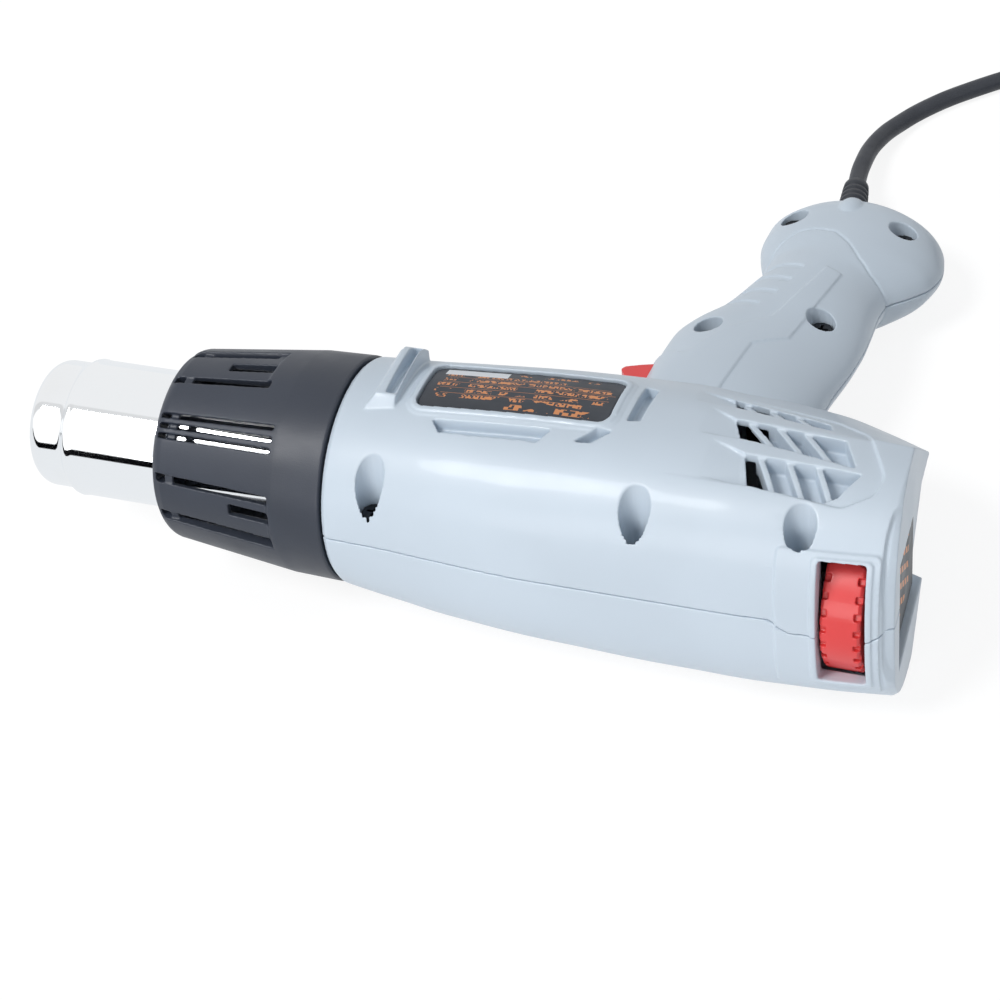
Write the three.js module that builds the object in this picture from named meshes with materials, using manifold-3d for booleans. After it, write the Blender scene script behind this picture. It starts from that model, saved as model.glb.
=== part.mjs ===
// A mains hot air gun lying on its left side, with its cord wound up beside it. Millimetres, +Z up.
// The tool is drawn along its barrel: X runs from the nozzle to the rear, Y from the top of the barrel
// down the handle, Z out through the right side, and the two shells meet at Z = 0.
import * as THREE from 'three';
import { mergeVertices } from 'three/addons/utils/BufferGeometryUtils.js';
import Module from 'manifold-3d';

const wasm = await Module();
wasm.setup();

// Fits and walls
const FIT = 0.3; // clearance between pieces that touch

// Sides of round pieces, from coarse to fine
const SHANK_SIDES = 8;
const HEAD_SIDES = 10;
const THIN_SIDES = 12;
const GRIP_SIDES = 12;
const HUB_SIDES = 16;
const ROUND_SIDES = 20;
const BORE_SIDES = 24;

const WALL = 2.4; // shell wall
const SEAM = 0.3; // gap between the two shells
const RIB = 1.8; // ribs inside the shells
const FAR = 60; // past every surface of the tool, for cuts that go right through

// Lying pose: height of the barrel axis over the bench, and how far the handle end leans down
const LIE_HEIGHT = 35;
const LIE_ANGLE = THREE.MathUtils.degToRad(8.8);

// Nozzle, X from the mouth to the shells
const MOUTH_X = -93.2;
const MOUTH_RADIUS = 17.5; // slip-on nozzles fit this 35 mm end
const MOUTH_LENGTH = 11.4;
const LIP = 4.2; // rounding of the mouth
const NOZZLE_RADIUS = 18.85;
const NOZZLE_WALL = 1.2;
const NOZZLE_STEP = 1.6; // length of the slope behind the mouth
const FLANGE_RADIUS = 24;
const FLANGE_THICK = 1.2;

// Heater inside the nozzle
const MICA_WALL = 0.6;
const CORE_RADIUS = 12.6;
const CORE_HUB = 4;
const CORE_ARMS = 6;
const CORE_ARM = 2.6;
const CORE_SETBACK = 16; // from the mouth to the ceramic
const HEATER_WIRE = 0.8; // wire radius
const HEATER_TURNS = 8;
const HEATER_MARGIN = 4; // bare ceramic at each end of the winding
const SUPPORT_THICK = 3;
const SUPPORT_HOLES = { count: 6, reach: 12, radius: 4.6 };
const CUTOUT = { length: 5, half: 3.4 };

// Heat guard collar and the spigot it sits on
const SPIGOT_RADIUS = 27;
const SPIGOT_LENGTH = 9;
const COLLAR_LENGTH = 51.4;
const COLLAR_REAR_WALL = 3.3; // its thick end over the spigot
const COLLAR_REAR_RADIUS = SPIGOT_RADIUS + FIT + COLLAR_REAR_WALL;
const COLLAR_TAPER = 4.4;
const COLLAR_FRONT_RADIUS = COLLAR_REAR_RADIUS - COLLAR_TAPER;
const COLLAR_WALL = 2.2;
const COLLAR_ROUND = 4.6;
const COLLAR_GAP = 1.2; // between the collar's front opening and the nozzle
const SLOT_REAR_X = -15;
const SLOT_FRONT_X = -49.5;
const SLOT_HALF_X = -27;
const SLOTS = [
  { angle: -11, width: 2.6 },
  { angle: 4, width: 3.4, short: true },
  { angle: 17, width: 2.8 },
  { angle: 41, width: 1.5 },
  { angle: 47, width: 1.5 },
  { angle: 53, width: 1.5 },
  { angle: 78, width: 2.8 },
  { angle: 90, width: 3.4, short: true },
  { angle: 105, width: 2.6 },
];

// Rear face: its place at the top of the barrel, and how far it leans forward on its way down
const REAR = { x: 151.8, y: -33, lean: THREE.MathUtils.degToRad(4.2), wall: 5.4 };

// Barrel sections: distance along the axis, reach to the top, side and bottom, and how square the
// upper and lower corners are (2 is an ellipse, more is squarer, less is more pointed)
const BARREL = [
  [0.3, 29.8, 29.5, 29.5, 2.05, 2],
  [1.6, 30.8, 30.5, 30.5, 2.05, 2],
  [17, 31.4, 31.4, 31.2, 2.35, 2],
  [31, 32.6, 32.5, 32.2, 2.5, 2],
  [59, 34.3, 34.3, 34, 2.52, 2],
  [87, 34.3, 34.9, 35.6, 2.66, 1.96],
  [100, 34.3, 34.8, 41, 2.7, 1.6],
  [112, 34.2, 34.8, 47, 2.75, 1.35],
  [124, 33.6, 34.6, 48, 2.75, 1.22],
  [134, 33, 34.4, 45.7, 2.75, 1.13],
  [REAR.x - 2.2, 31.6, 33.4, 39.2, 2.75, 1.04],
  [REAR.x + 0.2, 30.4, 31.8, 37.4, 2.7, 1.04],
];
const BARREL_SIDES = 32;
const CAVITY_SIDES = 16;
const BARREL_CAVITY_X = 8; // where the hollow starts behind the duct's flange

const BADGE = { y0: 13, y1: 45, z0: -19, z1: 11.5, thick: 1.2, depth: 3.4, room: 1.5 };

// Handle sections: distance from the barrel axis, front edge, rear edge, half thickness
const HANDLE = [
  [20, 62, 111, 14.8],
  [58, 62.6, 113, 15],
  [72, 63.4, 115.2, 14.6],
  [77, 65.4, 115.8, 14.4],
  [86, 72, 116.4, 14.2],
  [100, 77.6, 116.2, 14.1],
  [106.5, 79.8, 117, 14.2],
  [112, 79.8, 122.2, 14.4],
  [118.5, 77.2, 127.2, 14.9],
  [126, 75.2, 128.8, 15.2],
  [133, 75.4, 127.8, 14.8],
  [139, 78.8, 125, 13.4],
  [143.2, 83.8, 119.4, 10.8],
  [146, 90.6, 111, 6.8],
  [146.8, 95, 105.4, 4.4],
];
const HANDLE_SIDES = 20;
const HANDLE_CORNER = 2.05; // how square the front corners are, as in the barrel
const HANDLE_REAR_CORNER = 1.8;
const HANDLE_CAVITY_END = 139;

// Screws, X and Y of each axis
const SCREWS = [
  [14.2, -26.4],
  [86, -28.4],
  [127.5, -26.8],
  [75.9, 69.5],
  [104.8, 80.5],
  [84.3, 130.2],
  [116.4, 129.1],
];
const SCREW_RADIUS = 1.7;
const HEAD_RADIUS = 3.2;
const HEAD_HEIGHT = 2.4;
const HEAD_SEAT = 5.5; // height of the heads' seats over the seam
const SCREW_TIP = -9.5;
const RECESS = { reach: 2, half: 0.4, depth: 1.2 }; // cross recess in a screw head
const WELL_RADIUS = 4;
const BOSS_RADIUS = 4.9;

// Air grille in each side: the outlines of its rows, and the ribs across each row by their ends
const GRILLE_ROWS = [
  {
    outline: [[102.7, 6.2], [128, 2.8], [126, 8.6], [100.8, 11.5]],
    ribs: [[[103.6, 11], [109, 5]], [[110.4, 10.4], [116, 4.2]], [[117.4, 9.6], [123, 3.4]]],
  },
  {
    outline: [[107.4, -7.2], [137.3, -10.8], [132.7, -1.6], [104.2, 0]],
    ribs: [[[107.5, 0.6], [116.4, -8.9]], [[114.9, 0.2], [123.9, -9.8]], [[122, -0.3], [131.3, -10.9]]],
  },
  {
    outline: [[112.7, -21], [132, -21.6], [135, -19.8], [139.3, -12.2], [109.8, -12.2]],
    ribs: [[[113.4, -11.5], [119.6, -22]], [[120.6, -11.5], [126.9, -22]], [[128, -11.5], [134, -22]]],
  },
];
const GRILLE_RIB = 1.7;

// Label, grooves and side fin
const LABEL = { x0: 23, x1: 72, y0: -8.6, y1: 10, depth: 1, thick: 0.4 };
const GROOVES = [
  { outline: [[27.7, -13.5], [59.6, -13.5], [57.2, -17.4], [30.4, -16.9]], depth: 1.4 },
  { outline: [[66.3, -16], [70.9, -16], [75.7, -11.5], [71.5, -11.4]], depth: 1.9 },
  { outline: [[78.3, 9], [81.6, 7.6], [81, -6.6], [78, -7.2]], depth: 1.9 },
];
const FIN = {
  x0: 11.4, x1: 14.8, y0: -8.6, y1: 20, peak: 9, rise: 0.01, fall: 0.085,
  reach: 4, // how far its crest stands out from the barrel's side
  sink: 8, // how much deeper its foot lies on the handle's side
};

// Temperature dial and its window in the top of the barrel
const DIAL_RADIUS = 20.4;
const DIAL_X = 133.5;
const DIAL_WIDTH = 10.2;
const DIAL_Y = -13;
const DIAL_Z = -3;
const DIAL_BEVEL = 1;
const NOTCHES = { count: 16, deep: 1.5, wide: 2.4, long: 1.6 };
const WINDOW = { x0: 132.9, x1: 144.9, z0: -18, z1: 19.5 };
const POCKET = 1; // room round the dial
const SPINDLE_RADIUS = 3;
const POT = { length: 3.7, radius: 6.2 };

// Circuit board and what it carries
const BOARD = { x: 126.6, thick: 1.6, y0: -20.6, y1: 20, half: 20, seat: 2, rest: 12 };
const SINK = { length: 11.7, y0: 2, y1: 14, half: 12, base: 2.7, fins: 5, pitch: 4.6, gap: 2.4 };
const TRANSISTOR = { length: 4.7, height: 4.3, half: 4 };
const CAPACITOR = { length: 8.7, y0: -16, y1: -4, z0: -11, z1: 8 };

// Trigger, plunger and switch
const TRIGGER = { x0: 55.5, x1: 71.5, y0: 41, y1: 57.5, half: 5.6 };
const TRIGGER_TRAVEL = 5;
const PLUNGER_RADIUS = 2.2;
const PLUNGER_DEPTH = 4; // how far it reaches into the switch at rest
const SWITCH = { x0: 80, x1: 99, y0: 40, y1: 62, half: 8.5 };
const SWITCH_RIBS = [42.4, 56];
const SWITCH_RIM = 2;

// Motor and fan, X along the axis; the housing's wall runs round both
const HOUSING_RADIUS = 22.2;
const HOUSING_WALL = 1.3;
const FAN_GAP = 0.7;
const FAN_RADIUS = HOUSING_RADIUS - HOUSING_WALL - FAN_GAP;
const MOTOR_RADIUS = 14;
const MOTOR_X0 = 56;
const MOTOR_X1 = 83;
const CAP = { length: 4, inset: 0.5, boss: 4, proud: 1.2 };
const SHAFT_RADIUS = 1.6;
const SHAFT_PROUD = 3; // past the motor's front and the fan's rear
const SLEEVE = { x0: 4, length: 16, wall: 1.8 };
const VANES = { x0: 6, length: 12, thick: 1.6 };
const FAN_HUB = 6.5;
const FAN_X0 = 90;
const FAN_LENGTH = 9;
const FAN_BLADES = 8;
const BLADE = { thick: 1.1, chord: 10.4, pitch: 38 };

// Duct and fan housing
const HOUSING_X0 = 48;
const HOUSING_X1 = 103;
const INTAKE = { radius: 17.5, lip: 1.4, round: 0.6 };
const DUCT_WAIST = 20.2;
const DUCT_WIDENS = 33;
const DUCT_WIDE = 41;
const DUCT_FLANGE = 2;
const CRADLES = [30, 60, 96]; // the first holds the duct, the others the housing
const CRADLE_REACH = 30; // how far towards the handle the cradles go

// Cord and strain relief; the relief leans towards the nozzle
const CORD = 5.4;
const CORD_SIDES = 8;
const CORD_STEPS = 16; // lengths in a bent cable
const RELIEF_SEAT = [97.4, 139.6];
const RELIEF_LEAN = THREE.MathUtils.degToRad(8.5);
const RELIEF = {
  flange: 6.6, flangeThick: 2.2, neck: 3.9, sleeve: 10.4, radius: 4.4, end: 3.7, length: 28.7,
};
const RELIEF_TAPER = 4;
const SLEEVE_RADIUS = 5.8;
const SLEEVE_ROOT = 4;

// Clamp over the lead inside the handle
const CLAMP = { x: 98.4, y0: 117.6, y1: 123.4, half: 11.6, height: 5, screw: 8.4, post: 3.2 };
const CLAMP_SCREW = { radius: 1.2, head: 2.4, headHeight: 1.8, tip: -7 };
const SADDLE = { half: 4.4, y0: 119.4, y1: 121.6 };

// Lead inside the handle from the switch down to the clamp, X and Y
const LEAD_X = 91;
const LEAD_BENDS = [[92, 86], [94.6, 100]];

// Wires from the switch to the board, X and Y; a pair, one each side of the seam
const WIRE_RADIUS = 0.8;
const WIRE_SIDES = 6;
const WIRE_STEPS = 12;
const WIRE_STRAIGHT = 2; // at each end
const WIRE_Z = 5.6;
const WIRE_Y = 50;
const WIRE_BENDS = [[102.6, 46], [104.2, 39.6], [107.6, 31.6], [114.4, 24], [120.6, 19.2]];
const WIRE_END_Y = 17.4;

// Free route of the cord from the strain relief over the bench, measured from the barrel's place
const FREE_ROUTE = [
  [91.8, 178.4, 7.4], [92, 188.6, 5.8], [94.1, 198, 4.4], [97.3, 205.4, 3.3], [101.6, 212.4, 2.75],
  [108.1, 219.6, 2.75], [114.9, 225.6, 2.75], [123, 232, 2.75], [135.2, 240.6, 2.75], [147, 248.2, 3.3],
];

// Coil that holds the rest of the cord
const COIL_CENTRE = [185, 222];
const COIL_OUTER = 43.8;
const COIL_PITCH = 5.9;
const COIL_TURNS = 3.95; // in each of the two layers
const COIL_START = 115; // degrees; the turns run clockwise seen from above
const COIL_STEPS = 24;
const COIL_SIDES = 6;
const TIE = { thick: 0.8, wide: 6, angle: 240 };

// Lead from the coil to the plug, and the plug
const PLUG_LEAD = 44;
const PLUG_SWAY = 2;
const PLUG_HEIGHT = 11.1;
const PLUG = [[0, 3.9, 3.9], [9, 4.4, 4.4], [13, 6.8, 6.4], [20, 13, 9], [27, 16.6, 10.8], [36, 17.4, 11],
  [41, 17.4, 11], [43, 16.2, 9.8]];
const PLUG_SIDES = 16;
const PIN = { radius: 2.4, length: 19, apart: 19, seat: 8 };

const colours = {
  shell: 0xc6d1db, black: 0x2b3038, red: 0xe95f5f, chrome: 0xd8dce0, steel: 0x9aa0a6,
  mica: 0xc9b58a, ceramic: 0xe9e4da, wire: 0x8d8f92, board: 0x2f6b3c, rubber: 0x23272d,
  duct: 0xd8dde1, brass: 0xc9a34e, label: 0x23282f, aluminium: 0xb4b8bc, cord: 0x373c46,
};

function material(colour, roughness = 0.5, metalness = 0) {
  return new THREE.MeshStandardMaterial({ color: colour, roughness, metalness });
}

// Solids: closed geometry becomes a manifold, turned outside out if need be
function toSolid(geometry) {
  const bare = geometry.index ? geometry.toNonIndexed() : geometry.clone();
  bare.deleteAttribute('normal');
  bare.deleteAttribute('uv');
  const merged = mergeVertices(bare, 1e-4);
  const points = merged.attributes.position;
  const corner = new THREE.Vector3();
  const next = new THREE.Vector3();
  const last = new THREE.Vector3();
  const kept = [];
  let volume = 0;
  for (let i = 0; i < merged.index.count; i += 3) {
    const [a, b, c] = [0, 1, 2].map((k) => merged.index.getX(i + k));
    if (a === b || b === c || c === a) continue;
    corner.fromBufferAttribute(points, a);
    next.fromBufferAttribute(points, b);
    last.fromBufferAttribute(points, c);
    volume += corner.dot(next.cross(last));
    kept.push(a, b, c);
  }
  if (volume < 0) kept.reverse();
  const mesh = new wasm.Mesh({
    numProp: 3,
    vertProperties: Float32Array.from(points.array),
    triVerts: Uint32Array.from(kept),
  });
  return new wasm.Manifold(mesh);
}

function toGeometry(solid) {
  const mesh = solid.getMesh();
  const geometry = new THREE.BufferGeometry();
  geometry.setAttribute('position', new THREE.BufferAttribute(Float32Array.from(mesh.vertProperties), 3));
  geometry.setIndex(new THREE.BufferAttribute(Uint32Array.from(mesh.triVerts), 1));
  return geometry;
}

function joined(solids) {
  return solids.reduce((all, one) => all.add(one));
}

// A solid turned about the barrel axis from [x, radius] points
function turned(profile, sides = 28) {
  const points = profile.map(([x, radius]) => new THREE.Vector2(radius, x));
  const geometry = new THREE.LatheGeometry(points, sides);
  geometry.rotateZ(-Math.PI / 2);
  return toSolid(geometry);
}

function ringProfile(x0, x1, inner, outer) {
  return [[x0, inner], [x1, inner], [x1, outer], [x0, outer], [x0, inner]];
}

// A solid turned about the strain relief's axis, from [radius, distance from its seat] points
function turnedOnRelief(profile, sides = 12) {
  const points = profile.map(([radius, along]) => new THREE.Vector2(radius, along));
  const geometry = new THREE.LatheGeometry(points, sides);
  geometry.rotateZ(RELIEF_LEAN);
  geometry.translate(...RELIEF_SEAT, 0);
  return toSolid(geometry);
}

function box(x0, x1, y0, y1, z0, z1) {
  const geometry = new THREE.BoxGeometry(x1 - x0, y1 - y0, z1 - z0);
  geometry.translate((x0 + x1) / 2, (y0 + y1) / 2, (z0 + z1) / 2);
  return toSolid(geometry);
}

// A round bar along Z
function post(x, y, z0, z1, radius, sides = 16) {
  const geometry = new THREE.CylinderGeometry(radius, radius, z1 - z0, sides);
  geometry.rotateX(Math.PI / 2);
  geometry.translate(x, y, (z0 + z1) / 2);
  return toSolid(geometry);
}

// A round bar along X
function bar(x0, x1, y, z, radius, sides = 24) {
  const geometry = new THREE.CylinderGeometry(radius, radius, x1 - x0, sides);
  geometry.rotateZ(-Math.PI / 2);
  geometry.translate((x0 + x1) / 2, y, z);
  return toSolid(geometry);
}

// A round bar along Y
function rod(x, y0, y1, radius, sides = 16) {
  const geometry = new THREE.CylinderGeometry(radius, radius, y1 - y0, sides);
  geometry.translate(x, (y0 + y1) / 2, 0);
  return toSolid(geometry);
}

// An outline in X and Y, carried up from z0 to z1
function prism(outline, z0, z1) {
  const shape = new THREE.Shape(outline.map(([x, y]) => new THREE.Vector2(x, y)));
  const geometry = new THREE.ExtrudeGeometry(shape, { depth: z1 - z0, bevelEnabled: false });
  geometry.translate(0, 0, z0);
  return toSolid(geometry);
}

// An outline in Y and Z, carried along the barrel from x0 to x1
function slab(outline, x0, x1) {
  const shape = new THREE.Shape(outline.map(([y, z]) => new THREE.Vector2(y, z)));
  const geometry = new THREE.ExtrudeGeometry(shape, { depth: x1 - x0, bevelEnabled: false });
  const turn = new THREE.Matrix4().set(0, 0, 1, x0, 1, 0, 0, 0, 0, 1, 0, 0, 0, 0, 0, 1);
  geometry.applyMatrix4(turn);
  return toSolid(geometry);
}

// A skin over rings of equal count, closed by a fan at each end
function loft(rings) {
  const count = rings[0].length;
  const positions = rings.flat(2);
  const index = [];
  for (let r = 0; r + 1 < rings.length; r += 1) {
    for (let k = 0; k < count; k += 1) {
      const a = r * count + k;
      const b = r * count + ((k + 1) % count);
      index.push(a, b, b + count, a, b + count, a + count);
    }
  }
  [0, rings.length - 1].forEach((end) => {
    const ring = rings[end];
    const middle = [0, 1, 2].map((axis) => ring.reduce((sum, p) => sum + p[axis], 0) / count);
    const hub = positions.length / 3;
    positions.push(...middle);
    for (let k = 0; k < count; k += 1) {
      const a = end * count + k;
      const b = end * count + ((k + 1) % count);
      index.push(...(end === 0 ? [hub, b, a] : [hub, a, b]));
    }
  });
  const geometry = new THREE.BufferGeometry();
  geometry.setAttribute('position', new THREE.Float32BufferAttribute(positions, 3));
  geometry.setIndex(index);
  return toSolid(geometry);
}

function squashed(value, power) {
  return Math.sign(value) * Math.abs(value) ** (2 / power);
}

// Cosine and sine of the k-th of a ring's sides, exactly nought on the axes
function compass(k, sides) {
  const turn = (2 * Math.PI * k) / sides;
  return [Math.cos(turn), Math.sin(turn)].map((value) => (Math.abs(value) < 1e-9 ? 0 : value));
}

function barrelRing([x, top, side, bottom, upper, lower], inset, sides) {
  const ring = [];
  for (let k = 0; k < sides; k += 1) {
    const [c, s] = compass(k, sides);
    const power = c > 0 ? upper : lower;
    const reach = (c > 0 ? top : bottom) - inset;
    ring.push([x, -squashed(c, power) * reach, squashed(s, power) * (side - inset)]);
  }
  return ring;
}

function handleRing([y, front, rear, thick], inset, sides) {
  const ring = [];
  const middle = (front + rear) / 2;
  const half = (rear - front) / 2 - inset;
  for (let k = 0; k < sides; k += 1) {
    const [c, s] = compass(k, sides);
    const power = c > 0 ? HANDLE_REAR_CORNER : HANDLE_CORNER;
    ring.push([middle + squashed(c, power) * half, y, squashed(s, power) * (thick - inset)]);
  }
  return ring;
}

// The barrel's outer form, or a form that lies inside it by the inset
function barrelForm(inset = 0, sides = BARREL_SIDES) {
  return loft(BARREL.map((section) => barrelRing(section, inset, sides)));
}

function handleForm(inset = 0, sides = HANDLE_SIDES) {
  return loft(HANDLE.map((section) => handleRing(section, inset, sides)));
}

// A box in the leaning frame of the rear face: X out of the face, Y down from its top
function rearBox(x0, x1, y0, y1, z0, z1) {
  const geometry = new THREE.BoxGeometry(x1 - x0, y1 - y0, z1 - z0);
  geometry.translate((x0 + x1) / 2, (y0 + y1) / 2, (z0 + z1) / 2);
  geometry.rotateZ(REAR.lean);
  geometry.translate(REAR.x, REAR.y, 0);
  return toSolid(geometry);
}

function behindRear(depth) {
  return rearBox(-depth, FAR, -FAR, 2 * FAR, -FAR, FAR);
}

// The hollow inside both shells
function cavity() {
  const first = [BARREL_CAVITY_X, ...BARREL[1].slice(1)];
  const inside = BARREL.filter(([x], i) => x > BARREL_CAVITY_X && i % 2 === 1);
  const barrel = loft([first, ...inside].map((section) => barrelRing(section, WALL, CAVITY_SIDES)));
  const hollow = HANDLE.filter(([y]) => y <= HANDLE_CAVITY_END);
  const grip = hollow.map((section) => handleRing(section, WALL, GRIP_SIDES));
  const dialEnd = DIAL_X + DIAL_WIDTH + POCKET / 2;
  const dialRoom = bar(WINDOW.x0, dialEnd, DIAL_Y, DIAL_Z, DIAL_RADIUS + POCKET, ROUND_SIDES);
  return barrel.subtract(behindRear(REAR.wall)).add(loft(grip)).add(dialRoom);
}

// What stands across the hollow: screw bosses, cradle ribs, board rests, switch ribs
function innards() {
  const barrel = barrelForm(WALL / 2, CAVITY_SIDES);
  const handle = handleForm(WALL / 2, GRIP_SIDES);
  const standing = SCREWS.map(([x, y]) => post(x, y, -FAR, FAR, BOSS_RADIUS, HEAD_SIDES));
  const ribs = CRADLES.map((x, i) => {
    const radius = (i === 0 ? DUCT_WAIST : HOUSING_RADIUS) + FIT;
    return box(x, x + RIB, -FAR, CRADLE_REACH, -FAR, FAR)
      .subtract(bar(x - 1, x + RIB + 1, 0, 0, radius, BORE_SIDES));
  });
  const rear = BOARD.x + BOARD.thick + FIT;
  [-1, 1].forEach((side) => {
    const z = side * (BOARD.half - BOARD.seat);
    const [low, high] = [z, side * FAR].sort((a, b) => a - b);
    ribs.push(box(rear, rear + RIB, -BOARD.rest, BOARD.rest, low, high));
  });
  const room = box(SWITCH.x0 - FIT, SWITCH.x1 + FIT, 0, 2 * FAR, -SWITCH.half - FIT, SWITCH.half + FIT);
  const seats = SWITCH_RIBS.map((y) => (
    box(SWITCH.x0 - SWITCH_RIM, SWITCH.x1 + SWITCH_RIM, y, y + RIB, -FAR, FAR).subtract(room)
  ));
  return joined([...standing, ...ribs]).intersect(barrel)
    .add(joined([...standing, ...seats, clampSeat()]).intersect(handle));
}

// Posts and a saddle under the lead's clamp, on the left side only
function clampSeat() {
  const [left, right] = [-1, 1].map((side) => (
    post(CLAMP.x + side * CLAMP.screw, (CLAMP.y0 + CLAMP.y1) / 2, -FAR, -SEAM / 2, CLAMP.post, THIN_SIDES)
  ));
  const saddle = box(CLAMP.x - SADDLE.half, CLAMP.x + SADDLE.half, SADDLE.y0, SADDLE.y1, -FAR, -SEAM / 2)
    .subtract(rod(CLAMP.x, SADDLE.y0 - 1, SADDLE.y1 + 1, CORD / 2 + FIT));
  return joined([left, right, saddle]);
}

function clampHoles() {
  return joined([-1, 1].map((side) => (
    post(CLAMP.x + side * CLAMP.screw, (CLAMP.y0 + CLAMP.y1) / 2, CLAMP_SCREW.tip - 1, FAR,
      CLAMP_SCREW.radius + FIT, HEAD_SIDES)
  )));
}

// A bar across a row of the grille, past both of its ends
function grilleRib([[x0, y0], [x1, y1]]) {
  const reach = Math.hypot(x1 - x0, y1 - y0);
  const [dx, dy] = [(x1 - x0) / reach, (y1 - y0) / reach];
  const [wx, wy] = [(-dy * GRILLE_RIB) / 2, (dx * GRILLE_RIB) / 2];
  const corners = [[x0 - dx - wx, y0 - dy - wy], [x1 + dx - wx, y1 + dy - wy]];
  corners.push([x1 + dx + wx, y1 + dy + wy], [x0 - dx + wx, y0 - dy + wy]);
  return prism(corners, -FAR, FAR);
}

function grilleWindows() {
  return joined(GRILLE_ROWS.map(({ outline, ribs }) => (
    prism(outline, -FAR, FAR).subtract(joined(ribs.map(grilleRib)))
  )));
}

// The fin beside the collar: a steep step at the top side, a long fall towards the handle side
function fin(side) {
  const steps = 10;
  const flank = BARREL[1][2];
  const root = flank - WALL;
  const outline = [];
  for (let k = 0; k <= steps; k += 1) {
    const y = FIN.y0 + ((FIN.y1 - FIN.y0) * k) / steps;
    const curve = y < FIN.peak ? FIN.rise : FIN.fall;
    outline.push([y, side * (flank + FIN.reach - curve * (y - FIN.peak) ** 2)]);
  }
  return slab([...outline, [FIN.y1, side * (root - FIN.sink)], [FIN.y0, side * root]], FIN.x0, FIN.x1);
}

// Everything over the bench that the tool lies on
function aboveBench() {
  const geometry = new THREE.BoxGeometry(400, 400, 200);
  geometry.translate(0, 0, 100 - LIE_HEIGHT);
  geometry.rotateX(LIE_ANGLE);
  return toSolid(geometry);
}

// Both shells as one body before they are parted
function shellBody() {
  const spigot = bar(-SPIGOT_LENGTH, 4, 0, 0, SPIGOT_RADIUS, 28);
  const sleeve = turnedOnRelief([[0, SLEEVE_ROOT], [SLEEVE_RADIUS, SLEEVE_ROOT],
    [SLEEVE_RADIUS, RELIEF.sleeve - 1], [SLEEVE_RADIUS - 1, RELIEF.sleeve], [0, RELIEF.sleeve]]);
  const flangeX = -2 * FLANGE_THICK - 3 * FIT;
  const slot = TRIGGER.half + FIT;
  let body = joined([barrelForm(), handleForm(), spigot, sleeve, fin(1), fin(-1).intersect(aboveBench())]);
  body = body.subtract(behindRear(0)).subtract(cavity());
  body = body.subtract(bar(flangeX, BARREL_CAVITY_X + 1, 0, 0, FLANGE_RADIUS + FIT, BORE_SIDES));
  body = body.subtract(bar(-FAR, flangeX + 1, 0, 0, NOZZLE_RADIUS + COLLAR_GAP, BORE_SIDES));
  body = body.add(innards());
  SCREWS.forEach(([x, y]) => {
    body = body.subtract(post(x, y, HEAD_SEAT, FAR, WELL_RADIUS, THIN_SIDES));
    body = body.subtract(post(x, y, SCREW_TIP - 1, HEAD_SEAT + 1, SCREW_RADIUS + FIT, SHANK_SIDES));
  });
  body = body.subtract(clampHoles().intersect(box(0, 2 * FAR, 0, 3 * FAR, -FAR, 0)));
  body = body.subtract(grilleWindows());
  body = body.subtract(box(WINDOW.x0, WINDOW.x1, -FAR, DIAL_Y, WINDOW.z0, WINDOW.z1));
  body = body.subtract(box(TRIGGER.x0 - 1, TRIGGER.x1 + TRIGGER_TRAVEL + FIT, TRIGGER.y0 - FIT,
    TRIGGER.y1 + FIT, -slot, slot));
  body = body.subtract(turnedOnRelief([[0, -1], [RELIEF.flange + FIT, -1],
    [RELIEF.flange + FIT, RELIEF.flangeThick + FIT], [0, RELIEF.flangeThick + FIT]]));
  body = body.subtract(turnedOnRelief([[0, 0], [RELIEF.neck + FIT, 0], [RELIEF.neck + FIT, FAR], [0, FAR]]));
  return body.subtract(sideRecesses()).subtract(badgeRecess());
}

function sideRecesses() {
  const pieces = [box(LABEL.x0, LABEL.x1, LABEL.y0, LABEL.y1, 20, FAR).subtract(barrelForm(LABEL.depth))];
  GROOVES.forEach(({ outline, depth }) => {
    pieces.push(prism(outline, 20, FAR).subtract(barrelForm(depth)));
  });
  return joined(pieces);
}

// The recess of the rear face, open on the handle side
function badgeRecess() {
  const { y0, z0, z1, depth, room } = BADGE;
  return rearBox(-depth, FAR, y0 - room, 2 * FAR, z0 - room, z1 + room);
}

function rearBadge() {
  const { y0, y1, z0, z1, thick, depth } = BADGE;
  return rearBox(FIT - depth, FIT - depth + thick, y0, y1, z0, z1);
}

// Quarter circle of a lip, from the face of the mouth outwards
function quarter(x, middle, radius, turns) {
  return turns.map((turn) => {
    const angle = THREE.MathUtils.degToRad(turn);
    return [x + radius * (1 - Math.cos(angle)), middle + radius * Math.sin(angle)];
  });
}

function nozzle() {
  const inner = NOZZLE_RADIUS - NOZZLE_WALL;
  const mouthInner = MOUTH_RADIUS - NOZZLE_WALL;
  const step = MOUTH_X + MOUTH_LENGTH;
  const rear = -FLANGE_THICK - 2 * FIT;
  const outside = quarter(MOUTH_X, MOUTH_RADIUS - LIP, LIP, [0, 30, 60, 90]);
  const inside = quarter(MOUTH_X + NOZZLE_WALL, MOUTH_RADIUS - LIP, LIP - NOZZLE_WALL, [90, 45, 0]);
  return turned([
    ...outside, [step, MOUTH_RADIUS], [step + NOZZLE_STEP, NOZZLE_RADIUS],
    [rear - FLANGE_THICK, NOZZLE_RADIUS], [rear - FLANGE_THICK, FLANGE_RADIUS], [rear, FLANGE_RADIUS],
    [rear, inner], [step + NOZZLE_STEP, inner], [step, mouthInner], ...inside, outside[0],
  ]);
}

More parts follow.
